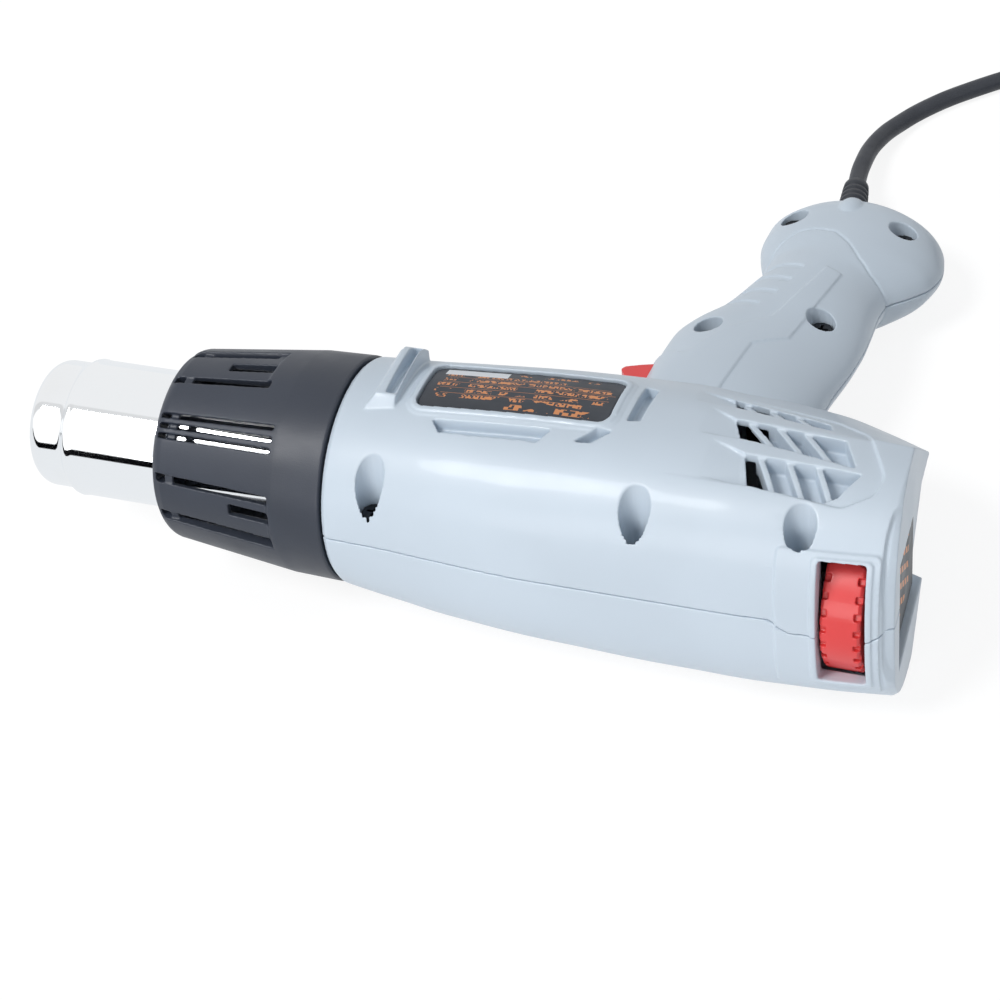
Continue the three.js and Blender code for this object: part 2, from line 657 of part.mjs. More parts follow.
function collar() {
  const rear = -FIT;
  const front = rear - COLLAR_LENGTH;
  const opening = NOZZLE_RADIUS + COLLAR_GAP;
  const rounding = quarter(front, COLLAR_FRONT_RADIUS - COLLAR_ROUND, COLLAR_ROUND, [90, 45, 0]);
  const profile = [
    [rear, SPIGOT_RADIUS + FIT], [rear, COLLAR_REAR_RADIUS], ...rounding, [front, opening],
    [front + COLLAR_WALL, opening], [front + COLLAR_ROUND, COLLAR_FRONT_RADIUS - COLLAR_WALL],
    [-SPIGOT_LENGTH - FIT, SPIGOT_RADIUS + FIT], [rear, SPIGOT_RADIUS + FIT],
  ];
  let body = turned(profile, 28);
  [0, 180].forEach((half) => {
    SLOTS.forEach(({ angle, width, short }) => {
      const x0 = short ? SLOT_HALF_X : SLOT_FRONT_X;
      const geometry = new THREE.BoxGeometry(SLOT_REAR_X - x0, 20, width);
      geometry.translate((x0 + SLOT_REAR_X) / 2, -COLLAR_REAR_RADIUS, 0);
      geometry.rotateX(THREE.MathUtils.degToRad(-angle - half));
      body = body.subtract(toSolid(geometry));
    });
  });
  return body;
}

function heaterCore() {
  const x0 = MOUTH_X + CORE_SETBACK;
  const x1 = -FLANGE_THICK - FIT;
  const arms = [];
  for (let k = 0; k < CORE_ARMS / 2; k += 1) {
    const arm = new THREE.BoxGeometry(x1 - x0, 2 * CORE_RADIUS, CORE_ARM);
    arm.translate((x0 + x1) / 2, 0, 0);
    arm.rotateX((k * 2 * Math.PI) / CORE_ARMS);
    arms.push(toSolid(arm));
  }
  return joined([bar(x0, x1, 0, 0, CORE_HUB, THIN_SIDES), ...arms]);
}

function micaSleeve() {
  const outer = NOZZLE_RADIUS - NOZZLE_WALL - FIT;
  const x0 = MOUTH_X + MOUTH_LENGTH + NOZZLE_STEP + 3 * FIT;
  return turned(ringProfile(x0, -2 * FIT - FLANGE_THICK, outer - MICA_WALL, outer), BORE_SIDES);
}

// One unbroken tube over a list of points, closed at both ends
function woundTube(points, radius, sides) {
  const rings = points.map((point, i) => {
    const before = points[Math.max(i - 1, 0)];
    const after = points[Math.min(i + 1, points.length - 1)];
    const along = after.clone().sub(before).normalize();
    const side = new THREE.Vector3().crossVectors(along, new THREE.Vector3(0, 0, 1)).normalize();
    const up = new THREE.Vector3().crossVectors(side, along);
    const ring = [];
    for (let k = 0; k < sides; k += 1) {
      const turn = (2 * Math.PI * (k + 0.5)) / sides;
      const p = point.clone().addScaledVector(side, radius * Math.cos(turn));
      p.addScaledVector(up, radius * Math.sin(turn));
      ring.push([p.x, p.y, p.z]);
    }
    return ring;
  });
  return loft(rings);
}

// The least gap between the turns of a wound tube, from its points
function selfGap(points, diameter, stepsPerTurn) {
  let least = Infinity;
  for (let i = 0; i < points.length; i += 1) {
    for (let j = i + Math.round(stepsPerTurn / 2); j < points.length; j += 1) {
      least = Math.min(least, points[i].distanceTo(points[j]));
    }
  }
  return least - diameter;
}

function heatingCoil() {
  const steps = 8;
  const sides = 5;
  const x0 = MOUTH_X + CORE_SETBACK + HEATER_MARGIN;
  const x1 = -FLANGE_THICK - FIT - HEATER_MARGIN;
  const reach = (CORE_RADIUS + FIT + HEATER_WIRE) / Math.cos(Math.PI / steps);
  const points = [];
  for (let i = 0; i <= HEATER_TURNS * steps; i += 1) {
    const turn = (2 * Math.PI * i) / steps;
    const x = x0 + ((x1 - x0) * i) / (HEATER_TURNS * steps);
    points.push(new THREE.Vector3(x, reach * Math.cos(turn), reach * Math.sin(turn)));
  }
  const rings = points.map((point) => {
    const out = new THREE.Vector3(0, point.y, point.z).normalize();
    const ring = [];
    for (let k = 0; k < sides; k += 1) {
      const turn = (2 * Math.PI * k) / sides;
      const p = point.clone().addScaledVector(out, HEATER_WIRE * Math.cos(turn));
      ring.push([p.x + HEATER_WIRE * Math.sin(turn), p.y, p.z]);
    }
    return ring;
  });
  console.log('heating coil least self gap', selfGap(points, 2 * HEATER_WIRE, steps).toFixed(2));
  return loft(rings);
}

function heaterSupport() {
  const { count, reach, radius } = SUPPORT_HOLES;
  let disc = bar(-FLANGE_THICK, SUPPORT_THICK - FLANGE_THICK, 0, 0, FLANGE_RADIUS, ROUND_SIDES);
  for (let k = 0; k < count; k += 1) {
    const turn = ((k + 0.5) * 2 * Math.PI) / count;
    disc = disc.subtract(bar(-FAR, FAR, reach * Math.cos(turn), reach * Math.sin(turn), radius, SHANK_SIDES));
  }
  return disc;
}

function thermalCutout() {
  const x0 = SUPPORT_THICK - FLANGE_THICK + FIT;
  return box(x0, x0 + CUTOUT.length, -CUTOUT.half, CUTOUT.half, -CUTOUT.half, CUTOUT.half);
}

function airDuct() {
  const x0 = SUPPORT_THICK - FLANGE_THICK + FIT;
  const x1 = HOUSING_X0 - FIT;
  const wide = HOUSING_RADIUS - HOUSING_WALL;
  const narrow = DUCT_WAIST - HOUSING_WALL;
  return turned([
    [x0, narrow], [x0, FLANGE_RADIUS], [x0 + DUCT_FLANGE, FLANGE_RADIUS], [x0 + DUCT_FLANGE, DUCT_WAIST],
    [DUCT_WIDENS, DUCT_WAIST], [DUCT_WIDE, HOUSING_RADIUS], [x1, HOUSING_RADIUS], [x1, wide],
    [DUCT_WIDE, wide], [DUCT_WIDENS, narrow], [x0, narrow],
  ], ROUND_SIDES);
}

function fanHousing() {
  const inner = HOUSING_RADIUS - HOUSING_WALL;
  const rear = HOUSING_X1 + INTAKE.lip;
  return turned([
    [HOUSING_X0, inner], [HOUSING_X0, HOUSING_RADIUS], [HOUSING_X1, HOUSING_RADIUS],
    [rear, HOUSING_RADIUS - INTAKE.round], [rear, INTAKE.radius], [HOUSING_X1, INTAKE.radius],
    [HOUSING_X1 - 1, inner], [HOUSING_X0, inner],
  ], ROUND_SIDES);
}

function motorBracket() {
  const x0 = MOTOR_X0 + SLEEVE.x0;
  const outer = MOTOR_RADIUS + SLEEVE.wall;
  const ring = turned(ringProfile(x0, x0 + SLEEVE.length, MOTOR_RADIUS + FIT, outer), ROUND_SIDES);
  const reach = HOUSING_RADIUS - HOUSING_WALL - FIT;
  const vanes = [];
  for (let k = 0; k < 3; k += 1) {
    const vane = new THREE.BoxGeometry(VANES.length, 2 * reach, VANES.thick);
    vane.translate(MOTOR_X0 + VANES.x0 + VANES.length / 2, 0, 0);
    vane.rotateX((k * Math.PI) / 3);
    vanes.push(toSolid(vane));
  }
  const core = bar(MOTOR_X0, MOTOR_X1, 0, 0, MOTOR_RADIUS + SLEEVE.wall / 2, ROUND_SIDES);
  return ring.add(joined(vanes).subtract(core));
}

function shaftBore(x0, x1) {
  return bar(x0 - 1, x1 + 1, 0, 0, SHAFT_RADIUS + FIT, THIN_SIDES);
}

function motorCan() {
  return bar(MOTOR_X0, MOTOR_X1, 0, 0, MOTOR_RADIUS, ROUND_SIDES).subtract(shaftBore(MOTOR_X0, MOTOR_X1));
}

function motorCap() {
  const x0 = MOTOR_X1 + FIT;
  const x1 = x0 + CAP.length;
  return bar(x0, x1, 0, 0, MOTOR_RADIUS - CAP.inset, ROUND_SIDES)
    .add(bar(x1 - 1, x1 + CAP.proud, 0, 0, CAP.boss, HUB_SIDES))
    .subtract(shaftBore(x0, x1 + CAP.proud));
}

function fan() {
  const x1 = FAN_X0 + FAN_LENGTH;
  const middle = (FAN_RADIUS + FAN_HUB) / 2;
  const blades = [];
  for (let k = 0; k < FAN_BLADES; k += 1) {
    const blade = new THREE.BoxGeometry(BLADE.chord, FAN_RADIUS - FAN_HUB + 2, BLADE.thick);
    blade.rotateY(THREE.MathUtils.degToRad(BLADE.pitch));
    blade.translate((FAN_X0 + x1) / 2, middle, 0);
    blade.rotateX((k * 2 * Math.PI) / FAN_BLADES);
    blades.push(toSolid(blade));
  }
  const swept = bar(FAN_X0, x1, 0, 0, FAN_RADIUS, 28);
  return joined([bar(FAN_X0, x1, 0, 0, FAN_HUB, HUB_SIDES), ...blades]).intersect(swept)
    .subtract(shaftBore(FAN_X0, x1));
}

// The dial, drawn round the barrel's axis
function dial() {
  const x1 = DIAL_X + DIAL_WIDTH;
  const rim = DIAL_RADIUS - DIAL_BEVEL;
  const bore = SPINDLE_RADIUS + FIT;
  let wheel = turned([
    [DIAL_X, bore], [DIAL_X, rim], [DIAL_X + DIAL_BEVEL, DIAL_RADIUS], [x1 - DIAL_BEVEL, DIAL_RADIUS],
    [x1, rim], [x1, bore], [DIAL_X, bore],
  ]);
  for (let k = 0; k < NOTCHES.count; k += 1) {
    [DIAL_X, x1 - NOTCHES.long].forEach((x) => {
      const notch = new THREE.BoxGeometry(NOTCHES.long, 2 * NOTCHES.deep, NOTCHES.wide);
      notch.translate(x + NOTCHES.long / 2, -DIAL_RADIUS, 0);
      notch.rotateX((k * 2 * Math.PI) / NOTCHES.count);
      wheel = wheel.subtract(toSolid(notch));
    });
  }
  return wheel;
}

function crossScrew(x, y, seat, headRadius, headHeight, shank, tip) {
  const top = seat + FIT + headHeight;
  const { reach, half, depth } = RECESS;
  const round = post(x, y, seat + FIT, top, headRadius, HEAD_SIDES);
  return joined([round, post(x, y, tip, seat + 1, shank, SHANK_SIDES)])
    .subtract(box(x - reach, x + reach, y - half, y + half, top - depth, top + 1))
    .subtract(box(x - half, x + half, y - reach, y + reach, top - depth, top + 1));
}

function trigger() {
  const { x0, x1, y0, y1, half } = TRIGGER;
  const outline = [
    [x0 + 5, y0], [x0 + 1.6, y0 + 4], [x0 + 1.8, y0 + 9.5], [x0, y1 - 4.2], [x0 + 0.8, y1 - 2.8],
    [x0 + 5, y1 - 1], [x0 + 8, y1], [x1, y1], [x1, y0],
  ];
  return prism(outline, -half, half);
}

function switchBody() {
  const { x0, x1, y0, y1, half } = SWITCH;
  const depth = PLUNGER_DEPTH + TRIGGER_TRAVEL + FIT;
  return box(x0, x1, y0, y1, -half, half)
    .subtract(bar(x0 - 1, x0 + depth, TRIGGER_MIDDLE, 0, PLUNGER_RADIUS + FIT, THIN_SIDES));
}

function ratingLabel() {
  const edge = 2 * FIT;
  const area = box(LABEL.x0 + edge, LABEL.x1 - edge, LABEL.y0 + edge, LABEL.y1 - edge, 20, FAR);
  const seat = LABEL.depth - FIT;
  return area.intersect(barrelForm(seat - LABEL.thick)).subtract(barrelForm(seat));
}

function heatSink() {
  const rear = BOARD.x - FIT;
  const front = rear - SINK.length;
  const blank = box(front, rear, SINK.y0, SINK.y1, -SINK.half, SINK.half);
  const start = -((SINK.fins - 1) * SINK.pitch + SINK.gap) / 2;
  const cuts = [];
  for (let k = 0; k < SINK.fins; k += 1) {
    const z = start + k * SINK.pitch;
    cuts.push(box(front - 1, rear - SINK.base, SINK.y0 - 1, SINK.y1 + 1, z, z + SINK.gap));
  }
  return blank.subtract(joined(cuts));
}

function strainRelief() {
  const bore = CORD / 2 + FIT;
  const { flange, flangeThick, neck, radius, end, length } = RELIEF;
  const shoulder = RELIEF.sleeve + FIT;
  return turnedOnRelief([
    [bore, 0], [flange, 0], [flange, flangeThick], [neck, flangeThick], [neck, shoulder],
    [radius, shoulder], [radius, length - RELIEF_TAPER], [end, length], [bore, length], [bore, 0],
  ]);
}

// A cable of round section on a smooth curve through points
function cable(points, radius, sides, steps) {
  const section = new THREE.Shape();
  for (let k = 0; k < sides; k += 1) {
    const [c, s] = compass(k, sides);
    if (k === 0) section.moveTo(radius * c, radius * s);
    else section.lineTo(radius * c, radius * s);
  }
  const path = new THREE.CatmullRomCurve3(points.map((p) => new THREE.Vector3(...p)));
  return toSolid(new THREE.ExtrudeGeometry(section, { extrudePath: path, steps, bevelEnabled: false }));
}

// A point on the strain relief's axis
function onRelief(along) {
  return [RELIEF_SEAT[0] - along * Math.sin(RELIEF_LEAN), RELIEF_SEAT[1] + along * Math.cos(RELIEF_LEAN)];
}

function innerLead() {
  const start = SWITCH.y1 + FIT;
  const route = [[LEAD_X, start], [LEAD_X, start + CORD], ...LEAD_BENDS, [CLAMP.x, CLAMP.y0 - 2],
    [CLAMP.x, CLAMP.y1 + 2], onRelief(0), onRelief(RELIEF.sleeve), onRelief(RELIEF.length)];
  return cable(route.map(([x, y]) => [x, y, 0]), CORD / 2, CORD_SIDES, CORD_STEPS);
}

function cordClamp() {
  return box(CLAMP.x - CLAMP.half, CLAMP.x + CLAMP.half, CLAMP.y0, CLAMP.y1, SEAM / 2, CLAMP.height)
    .subtract(rod(CLAMP.x, CLAMP.y0 - 1, CLAMP.y1 + 1, CORD / 2 + FIT))
    .subtract(clampHoles());
}

function leadWire(side) {
  const start = SWITCH.x1 + FIT;
  const end = BOARD.x - FIT;
  const first = [[start, WIRE_Y], [start + WIRE_STRAIGHT, WIRE_Y]];
  const last = [[end - WIRE_STRAIGHT, WIRE_END_Y], [end, WIRE_END_Y]];
  const route = [...first, ...WIRE_BENDS, ...last];
  return cable(route.map(([x, y]) => [x, y, side * WIRE_Z]), WIRE_RADIUS, WIRE_SIDES, WIRE_STEPS);
}

// Where a point of the lying tool's seam plane is over the bench
function onBench([x, y]) {
  return [x, y * Math.cos(LIE_ANGLE), LIE_HEIGHT - y * Math.sin(LIE_ANGLE)];
}

// The coil: in a spiral on the lower layer, up a layer while it turns back, and out again
const COIL_LOW = CORD / 2 + TIE.thick + 2 * FIT;
const COIL_INNER = COIL_OUTER - COIL_TURNS * COIL_PITCH;

function coilPoint(turns) {
  const climb = 0.5;
  const past = turns - COIL_TURNS;
  let radius = COIL_OUTER - turns * COIL_PITCH;
  let height = COIL_LOW;
  if (past > climb) {
    radius = COIL_INNER + (past - climb) * COIL_PITCH;
    height += COIL_PITCH;
  } else if (past > 0) {
    radius = COIL_INNER - Math.min(past, climb - past) * COIL_PITCH;
    height += COIL_PITCH * THREE.MathUtils.smoothstep(past, 0, climb);
  }
  const angle = THREE.MathUtils.degToRad(COIL_START - turns * 360);
  const [x, y] = COIL_CENTRE;
  return new THREE.Vector3(x + radius * Math.cos(angle), y + radius * Math.sin(angle), height);
}

function coilHeading(turns) {
  const angle = THREE.MathUtils.degToRad(COIL_START - turns * 360);
  return new THREE.Vector3(Math.sin(angle), -Math.cos(angle), 0);
}

const COIL_LENGTH = 2 * COIL_TURNS + 0.5;
const coilStart = coilPoint(0).addScaledVector(coilHeading(0), -CORD);
const coilEnd = coilPoint(COIL_LENGTH).addScaledVector(coilHeading(COIL_LENGTH), CORD);

function cordCoil() {
  const steps = Math.round(COIL_LENGTH * COIL_STEPS);
  const points = [coilStart];
  for (let i = 0; i <= steps; i += 1) points.push(coilPoint((COIL_LENGTH * i) / steps));
  points.push(coilEnd);
  const gap = selfGap(points, CORD, COIL_STEPS);
  console.log('cord coil least self gap', gap.toFixed(2));
  return woundTube(points, CORD / 2, COIL_SIDES);
}

function powerCord() {
  const back = (distance) => coilStart.clone().addScaledVector(coilHeading(0), -distance).toArray();
  const route = [onBench(onRelief(RELIEF.length + FIT)), onBench(onRelief(RELIEF.length + CORD)),
    ...FREE_ROUTE, back(CORD), back(FIT)];
  const curve = new THREE.CatmullRomCurve3(route.map((p) => new THREE.Vector3(...p)));
  console.log('free cord length', curve.getLength().toFixed(1));
  return cable(route, CORD / 2, CORD_SIDES, CORD_STEPS);
}

const plugHeading = coilHeading(COIL_LENGTH);
const plugSeat = coilEnd.clone().addScaledVector(plugHeading, PLUG_LEAD).setZ(PLUG_HEIGHT);

function plugLead() {
  const side = new THREE.Vector3(-plugHeading.y, plugHeading.x, 0);
  const route = [];
  for (let k = 0; k <= 8; k += 1) {
    const share = k / 8;
    const sway = PLUG_SWAY * Math.sin(Math.PI * share) ** 2;
    const p = coilEnd.clone().addScaledVector(plugHeading, FIT + (PLUG_LEAD - 2 * FIT) * share);
    p.addScaledVector(side, sway);
    p.z += (PLUG_HEIGHT - coilEnd.z) * THREE.MathUtils.smoothstep(share, 0.1, 0.9);
    route.push(p.toArray());
  }
  return cable(route, CORD / 2, CORD_SIDES, 5);
}

// A band round both layers of the coil, drawn along X from the coil's centre
function cordTie() {
  const low = COIL_LOW - CORD / 2 - FIT;
  const high = COIL_LOW + COIL_PITCH + CORD / 2 + FIT;
  const inner = COIL_INNER - CORD / 2 - FIT;
  const outer = COIL_OUTER + CORD / 2 + FIT;
  const half = TIE.wide / 2;
  return box(inner - TIE.thick, outer + TIE.thick, -half, half, low - TIE.thick, high + TIE.thick)
    .subtract(box(inner, outer, -FAR, FAR, low, high));
}

// The plug, drawn along X from its cord end
const PIN_X = PLUG[PLUG.length - 1][0];

function plugBody() {
  const rings = PLUG.map(([x, wide, high]) => {
    const ring = [];
    for (let k = 0; k < PLUG_SIDES; k += 1) {
      const [c, s] = compass(k, PLUG_SIDES);
      ring.push([x, squashed(c, 2.4) * wide, squashed(s, 2.4) * high]);
    }
    return ring;
  });
  const holes = [-1, 1].map((side) => (
    bar(PIN_X - PIN.seat, PIN_X + 1, (side * PIN.apart) / 2, 0, PIN.radius + FIT, THIN_SIDES)
  ));
  return loft(rings).subtract(joined(holes));
}

function plugPin(side) {
  return bar(PIN_X - PIN.seat + FIT, PIN_X + PIN.length, (side * PIN.apart) / 2, 0, PIN.radius, THIN_SIDES);
}

// The assembly: the tool lies turned in the bench's group, the cord lies beside it
const bench = new THREE.Group();
const tool = new THREE.Group();
const tie = new THREE.Group();
const plug = new THREE.Group();
tool.rotation.x = -LIE_ANGLE;
tool.position.z = LIE_HEIGHT;
plug.position.copy(plugSeat);
plug.rotation.z = Math.atan2(plugHeading.y, plugHeading.x);
tie.position.set(...COIL_CENTRE, 0);
tie.rotation.z = THREE.MathUtils.degToRad(TIE.angle);
bench.add(tool, tie, plug);

function add(parent, name, solid, finish) {
  const mesh = new THREE.Mesh(toGeometry(solid), finish);
  mesh.name = name;
  parent.add(mesh);
  return mesh;
}

const TRIGGER_MIDDLE = (TRIGGER.y0 + TRIGGER.y1) / 2;
const finishes = {
  shell: material(colours.shell, 0.45),
  black: material(colours.black, 0.55),
  red: material(colours.red, 0.45),
  steel: material(colours.steel, 0.35, 1),
  mica: material(colours.mica, 0.7),
  duct: material(colours.duct, 0.5),
  rubber: material(colours.rubber, 0.6),
  cord: material(colours.cord, 0.6),
};
const shells = shellBody();
const halfSpace = (z0, z1) => box(-4 * FAR, 4 * FAR, -4 * FAR, 4 * FAR, z0, z1);
add(tool, 'right_shell', shells.intersect(halfSpace(SEAM / 2, FAR)), finishes.shell);
add(tool, 'left_shell', shells.intersect(halfSpace(-FAR, -SEAM / 2)), finishes.shell);
add(tool, 'nozzle_tube', nozzle(), material(colours.chrome, 0.12, 1));
add(tool, 'front_collar', collar(), finishes.black);
add(tool, 'mica_sleeve', micaSleeve(), finishes.mica);
add(tool, 'heater_core', heaterCore(), material(colours.ceramic, 0.8));
add(tool, 'heating_coil', heatingCoil(), material(colours.wire, 0.4, 1));
add(tool, 'heater_support', heaterSupport(), finishes.mica);
add(tool, 'thermal_cutout', thermalCutout(), finishes.black);
add(tool, 'air_duct', airDuct(), finishes.duct);
add(tool, 'fan_housing', fanHousing(), finishes.duct);
add(tool, 'motor_bracket', motorBracket(), finishes.black);
add(tool, 'motor_can', motorCan(), finishes.steel);
add(tool, 'motor_end_cap', motorCap(), finishes.black);
const shaftEnds = [MOTOR_X0 - SHAFT_PROUD, FAN_X0 + FAN_LENGTH + SHAFT_PROUD];
add(tool, 'motor_shaft', bar(...shaftEnds, 0, 0, SHAFT_RADIUS, THIN_SIDES),
  finishes.steel);
add(tool, 'fan_wheel', fan(), finishes.black);
add(tool, 'temperature_dial', dial(), finishes.red).position.set(0, DIAL_Y, DIAL_Z);
const potX = BOARD.x + BOARD.thick + FIT;
add(tool, 'potentiometer', bar(potX, potX + POT.length, DIAL_Y, DIAL_Z, POT.radius, HUB_SIDES),
  finishes.steel);
const spindleEnds = [potX + POT.length + FIT, DIAL_X + DIAL_WIDTH];
add(tool, 'dial_spindle', bar(...spindleEnds, DIAL_Y, DIAL_Z, SPINDLE_RADIUS, THIN_SIDES), finishes.steel);
add(tool, 'circuit_board', box(BOARD.x, BOARD.x + BOARD.thick, BOARD.y0, BOARD.y1, -BOARD.half, BOARD.half),
  material(colours.board, 0.6));
add(tool, 'heat_sink', heatSink(), material(colours.aluminium, 0.4, 1));
const sinkSide = SINK.y1 + FIT;
add(tool, 'power_transistor', box(BOARD.x - FIT - TRANSISTOR.length, BOARD.x - FIT, sinkSide,
  sinkSide + TRANSISTOR.height, -TRANSISTOR.half, TRANSISTOR.half), finishes.black);
add(tool, 'noise_capacitor', box(BOARD.x - FIT - CAPACITOR.length, BOARD.x - FIT, CAPACITOR.y0, CAPACITOR.y1,
  CAPACITOR.z0, CAPACITOR.z1), material(colours.brass, 0.5));
SCREWS.forEach(([x, y], i) => {
  const solid = crossScrew(x, y, HEAD_SEAT, HEAD_RADIUS, HEAD_HEIGHT, SCREW_RADIUS, SCREW_TIP);
  add(tool, `shell_screw_${i + 1}`, solid, finishes.steel);
});
add(tool, 'trigger', trigger(), finishes.red);
const plungerEnds = [TRIGGER.x1 + FIT, SWITCH.x0 + PLUNGER_DEPTH];
add(tool, 'switch_plunger', bar(...plungerEnds, TRIGGER_MIDDLE, 0, PLUNGER_RADIUS, THIN_SIDES),
  material(colours.ceramic, 0.5));
add(tool, 'switch_body', switchBody(), finishes.black);
add(tool, 'rating_label', ratingLabel(), material(colours.label, 0.4));
add(tool, 'rear_badge', rearBadge(), material(colours.label, 0.4));
add(tool, 'strain_relief', strainRelief(), finishes.rubber);
add(tool, 'inner_lead', innerLead(), finishes.cord);
add(tool, 'cord_clamp', cordClamp(), finishes.black);
[-1, 1].forEach((side, i) => {
  const { head, headHeight, radius, tip } = CLAMP_SCREW;
  const x = CLAMP.x + side * CLAMP.screw;
  const y = (CLAMP.y0 + CLAMP.y1) / 2;
  const screw = crossScrew(x, y, CLAMP.height, head, headHeight, radius, tip);
  add(tool, `clamp_screw_${i + 1}`, screw, finishes.steel);
  add(tool, `lead_wire_${i + 1}`, leadWire(side), finishes.black);
});
bench.updateMatrixWorld(true);
const extent = new THREE.Box3().setFromObject(tool, true);

add(bench, 'power_cord', powerCord(), finishes.cord);
add(bench, 'cord_coil', cordCoil(), finishes.cord);
add(tie, 'cord_tie', cordTie(), finishes.black);
add(bench, 'plug_lead', plugLead(), finishes.cord);
add(plug, 'plug_body', plugBody(), finishes.rubber);
add(plug, 'plug_pin_1', plugPin(-1), finishes.steel);
add(plug, 'plug_pin_2', plugPin(1), finishes.steel);

// The origin is under the middle of the lying tool
const middle = extent.getCenter(new THREE.Vector3());
bench.position.set(-middle.x, -middle.y, -extent.min.z);

export default bench;
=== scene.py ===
"""A hot air gun on its side: two-part shell, nozzle, guard collar, dial, trigger and cord."""

import math

import bmesh
import bpy
from mathutils import Matrix, Vector


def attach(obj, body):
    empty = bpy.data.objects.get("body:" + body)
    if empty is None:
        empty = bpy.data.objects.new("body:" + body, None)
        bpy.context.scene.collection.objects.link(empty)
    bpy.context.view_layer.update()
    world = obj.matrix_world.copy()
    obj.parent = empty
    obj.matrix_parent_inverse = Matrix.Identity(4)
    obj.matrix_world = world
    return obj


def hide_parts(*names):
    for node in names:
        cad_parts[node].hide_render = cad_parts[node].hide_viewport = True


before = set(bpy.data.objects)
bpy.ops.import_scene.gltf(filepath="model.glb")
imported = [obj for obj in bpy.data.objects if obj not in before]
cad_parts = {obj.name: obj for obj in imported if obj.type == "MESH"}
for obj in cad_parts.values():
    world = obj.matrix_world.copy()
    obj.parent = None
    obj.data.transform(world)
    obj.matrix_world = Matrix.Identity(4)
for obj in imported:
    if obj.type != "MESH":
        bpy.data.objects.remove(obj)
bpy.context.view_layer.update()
scene = bpy.context.scene

# The tool is modelled in millimetres along its own barrel: X from the nozzle to the rear,
# Y from the barrel's top to the handle's end, Z out of the right side. Then it's laid down.
SHIFT = Vector((-0.0292112, -0.0658843, 0))
LEAN = math.radians(-8.8)
LIE_HEIGHT = 35
MM = Matrix.Scale(0.001, 4)
BENCH = Matrix.Translation(SHIFT) @ MM
TOOL = BENCH @ Matrix.Translation((0, 0, LIE_HEIGHT)) @ Matrix.Rotation(LEAN, 4, "X")

FAR = 90
SEAM = 0.3
WALL = 2.4

# ------------ camera

CAMERA_TURN = math.radians(23.0)
CAMERA_RISE = math.radians(37.17)
CAMERA_ROLL = math.radians(-5.5)
CAMERA_REACH = 738.3
CAMERA_SLIDE = 38.69
FOCAL_PIXELS = 2800
PIXELS_UP = -10
IMAGE = 1000
SENSOR = 36


def place_camera():
    """The fitted view: turned, raised, rolled and set back from a point of the barrel's axis."""
    back = Vector((
        math.sin(CAMERA_TURN) * math.cos(CAMERA_RISE),
        -math.cos(CAMERA_TURN) * math.cos(CAMERA_RISE),
        math.sin(CAMERA_RISE),
    ))
    level = Vector((math.cos(CAMERA_TURN), math.sin(CAMERA_TURN), 0))
    over = back.cross(level)
    right = level * math.cos(CAMERA_ROLL) + over * math.sin(CAMERA_ROLL)
    up = over * math.cos(CAMERA_ROLL) - level * math.sin(CAMERA_ROLL)
    turned = Matrix((right, up, back)).transposed()
    data = bpy.data.cameras.new("camera")
    data.sensor_width = SENSOR
    data.lens = FOCAL_PIXELS * SENSOR / IMAGE
    data.shift_y = PIXELS_UP / IMAGE
    data.clip_start = 0.01
    camera = bpy.data.objects.new("camera", data)
    scene.collection.objects.link(camera)
    laid = Matrix.Rotation(LEAN, 3, "X") @ turned
    seat = TOOL @ (Vector((CAMERA_SLIDE, 0, 0)) + back * CAMERA_REACH)
    camera.matrix_world = Matrix.Translation(seat) @ laid.to_4x4()
    scene.camera = camera


place_camera()

# ------------ finishes


class Number:
    """A number socket in a node tree; sums on it add Math nodes."""

    def __init__(self, nodes, socket):
        self.nodes = nodes
        self.socket = socket

    def reckon(self, operation, *values):
        return self.nodes.number("ShaderNodeMath", {"operation": operation}, values)

    def __add__(self, other):
        return self.reckon("ADD", self, other)

    __radd__ = __add__

    def __sub__(self, other):
        return self.reckon("SUBTRACT", self, other)

    def __mul__(self, other):
        return self.reckon("MULTIPLY", self, other)

    __rmul__ = __mul__

    def __truediv__(self, other):
        return self.reckon("DIVIDE", self, other)

    def __gt__(self, other):
        return self.reckon("GREATER_THAN", self, other)

    def __lt__(self, other):
        return self.reckon("LESS_THAN", self, other)

    def size(self):
        return self.reckon("ABSOLUTE", self)

    def part(self):
        return self.reckon("FRACT", self)

    def most(self, other):
        return self.reckon("MAXIMUM", self, other)

    def floor(self):
        return self.reckon("FLOOR", self)

    def within(self, low, high):
        return (self > low) * (self < high)


class Nodes:
    """A node tree that grows by plain calls."""

    def __init__(self, tree):
        self.tree = tree

    def fill(self, socket, value):
        if isinstance(value, Number):
            value = value.socket
        if isinstance(value, bpy.types.NodeSocket):
            self.tree.links.new(value, socket)
        elif socket.type == "RGBA" and len(value) == 3:
            socket.default_value = (*value, 1)
        else:
            socket.default_value = value

    def node(self, kind, settings, inputs, output=0):
        """Adds a node and gives one of its outputs."""
        node = self.tree.nodes.new(kind)
        for key, value in settings.items():
            setattr(node, key, value)
        pairs = inputs.items() if isinstance(inputs, dict) else enumerate(inputs)
        for key, value in pairs:
            self.fill(node.inputs[key], value)
        return node.outputs[output]

    def number(self, kind, settings, inputs, output=0):
        return Number(self, self.node(kind, settings, inputs, output))

    def parts(self, vector):
        """The three parts of a vector, as numbers."""
        split = self.tree.nodes.new("ShaderNodeSeparateXYZ")
        self.tree.links.new(vector, split.inputs[0])
        return [Number(self, output) for output in split.outputs]

    def seen_by(self, ray):
        """1 for that kind of ray, and 0 for the others."""
        return self.number("ShaderNodeLightPath", {}, {}, f"Is {ray} Ray")

    def blend(self, share, first, second):
        return self.node("ShaderNodeMix", {"data_type": "RGBA"}, {0: share, 6: first, 7: second}, 2)


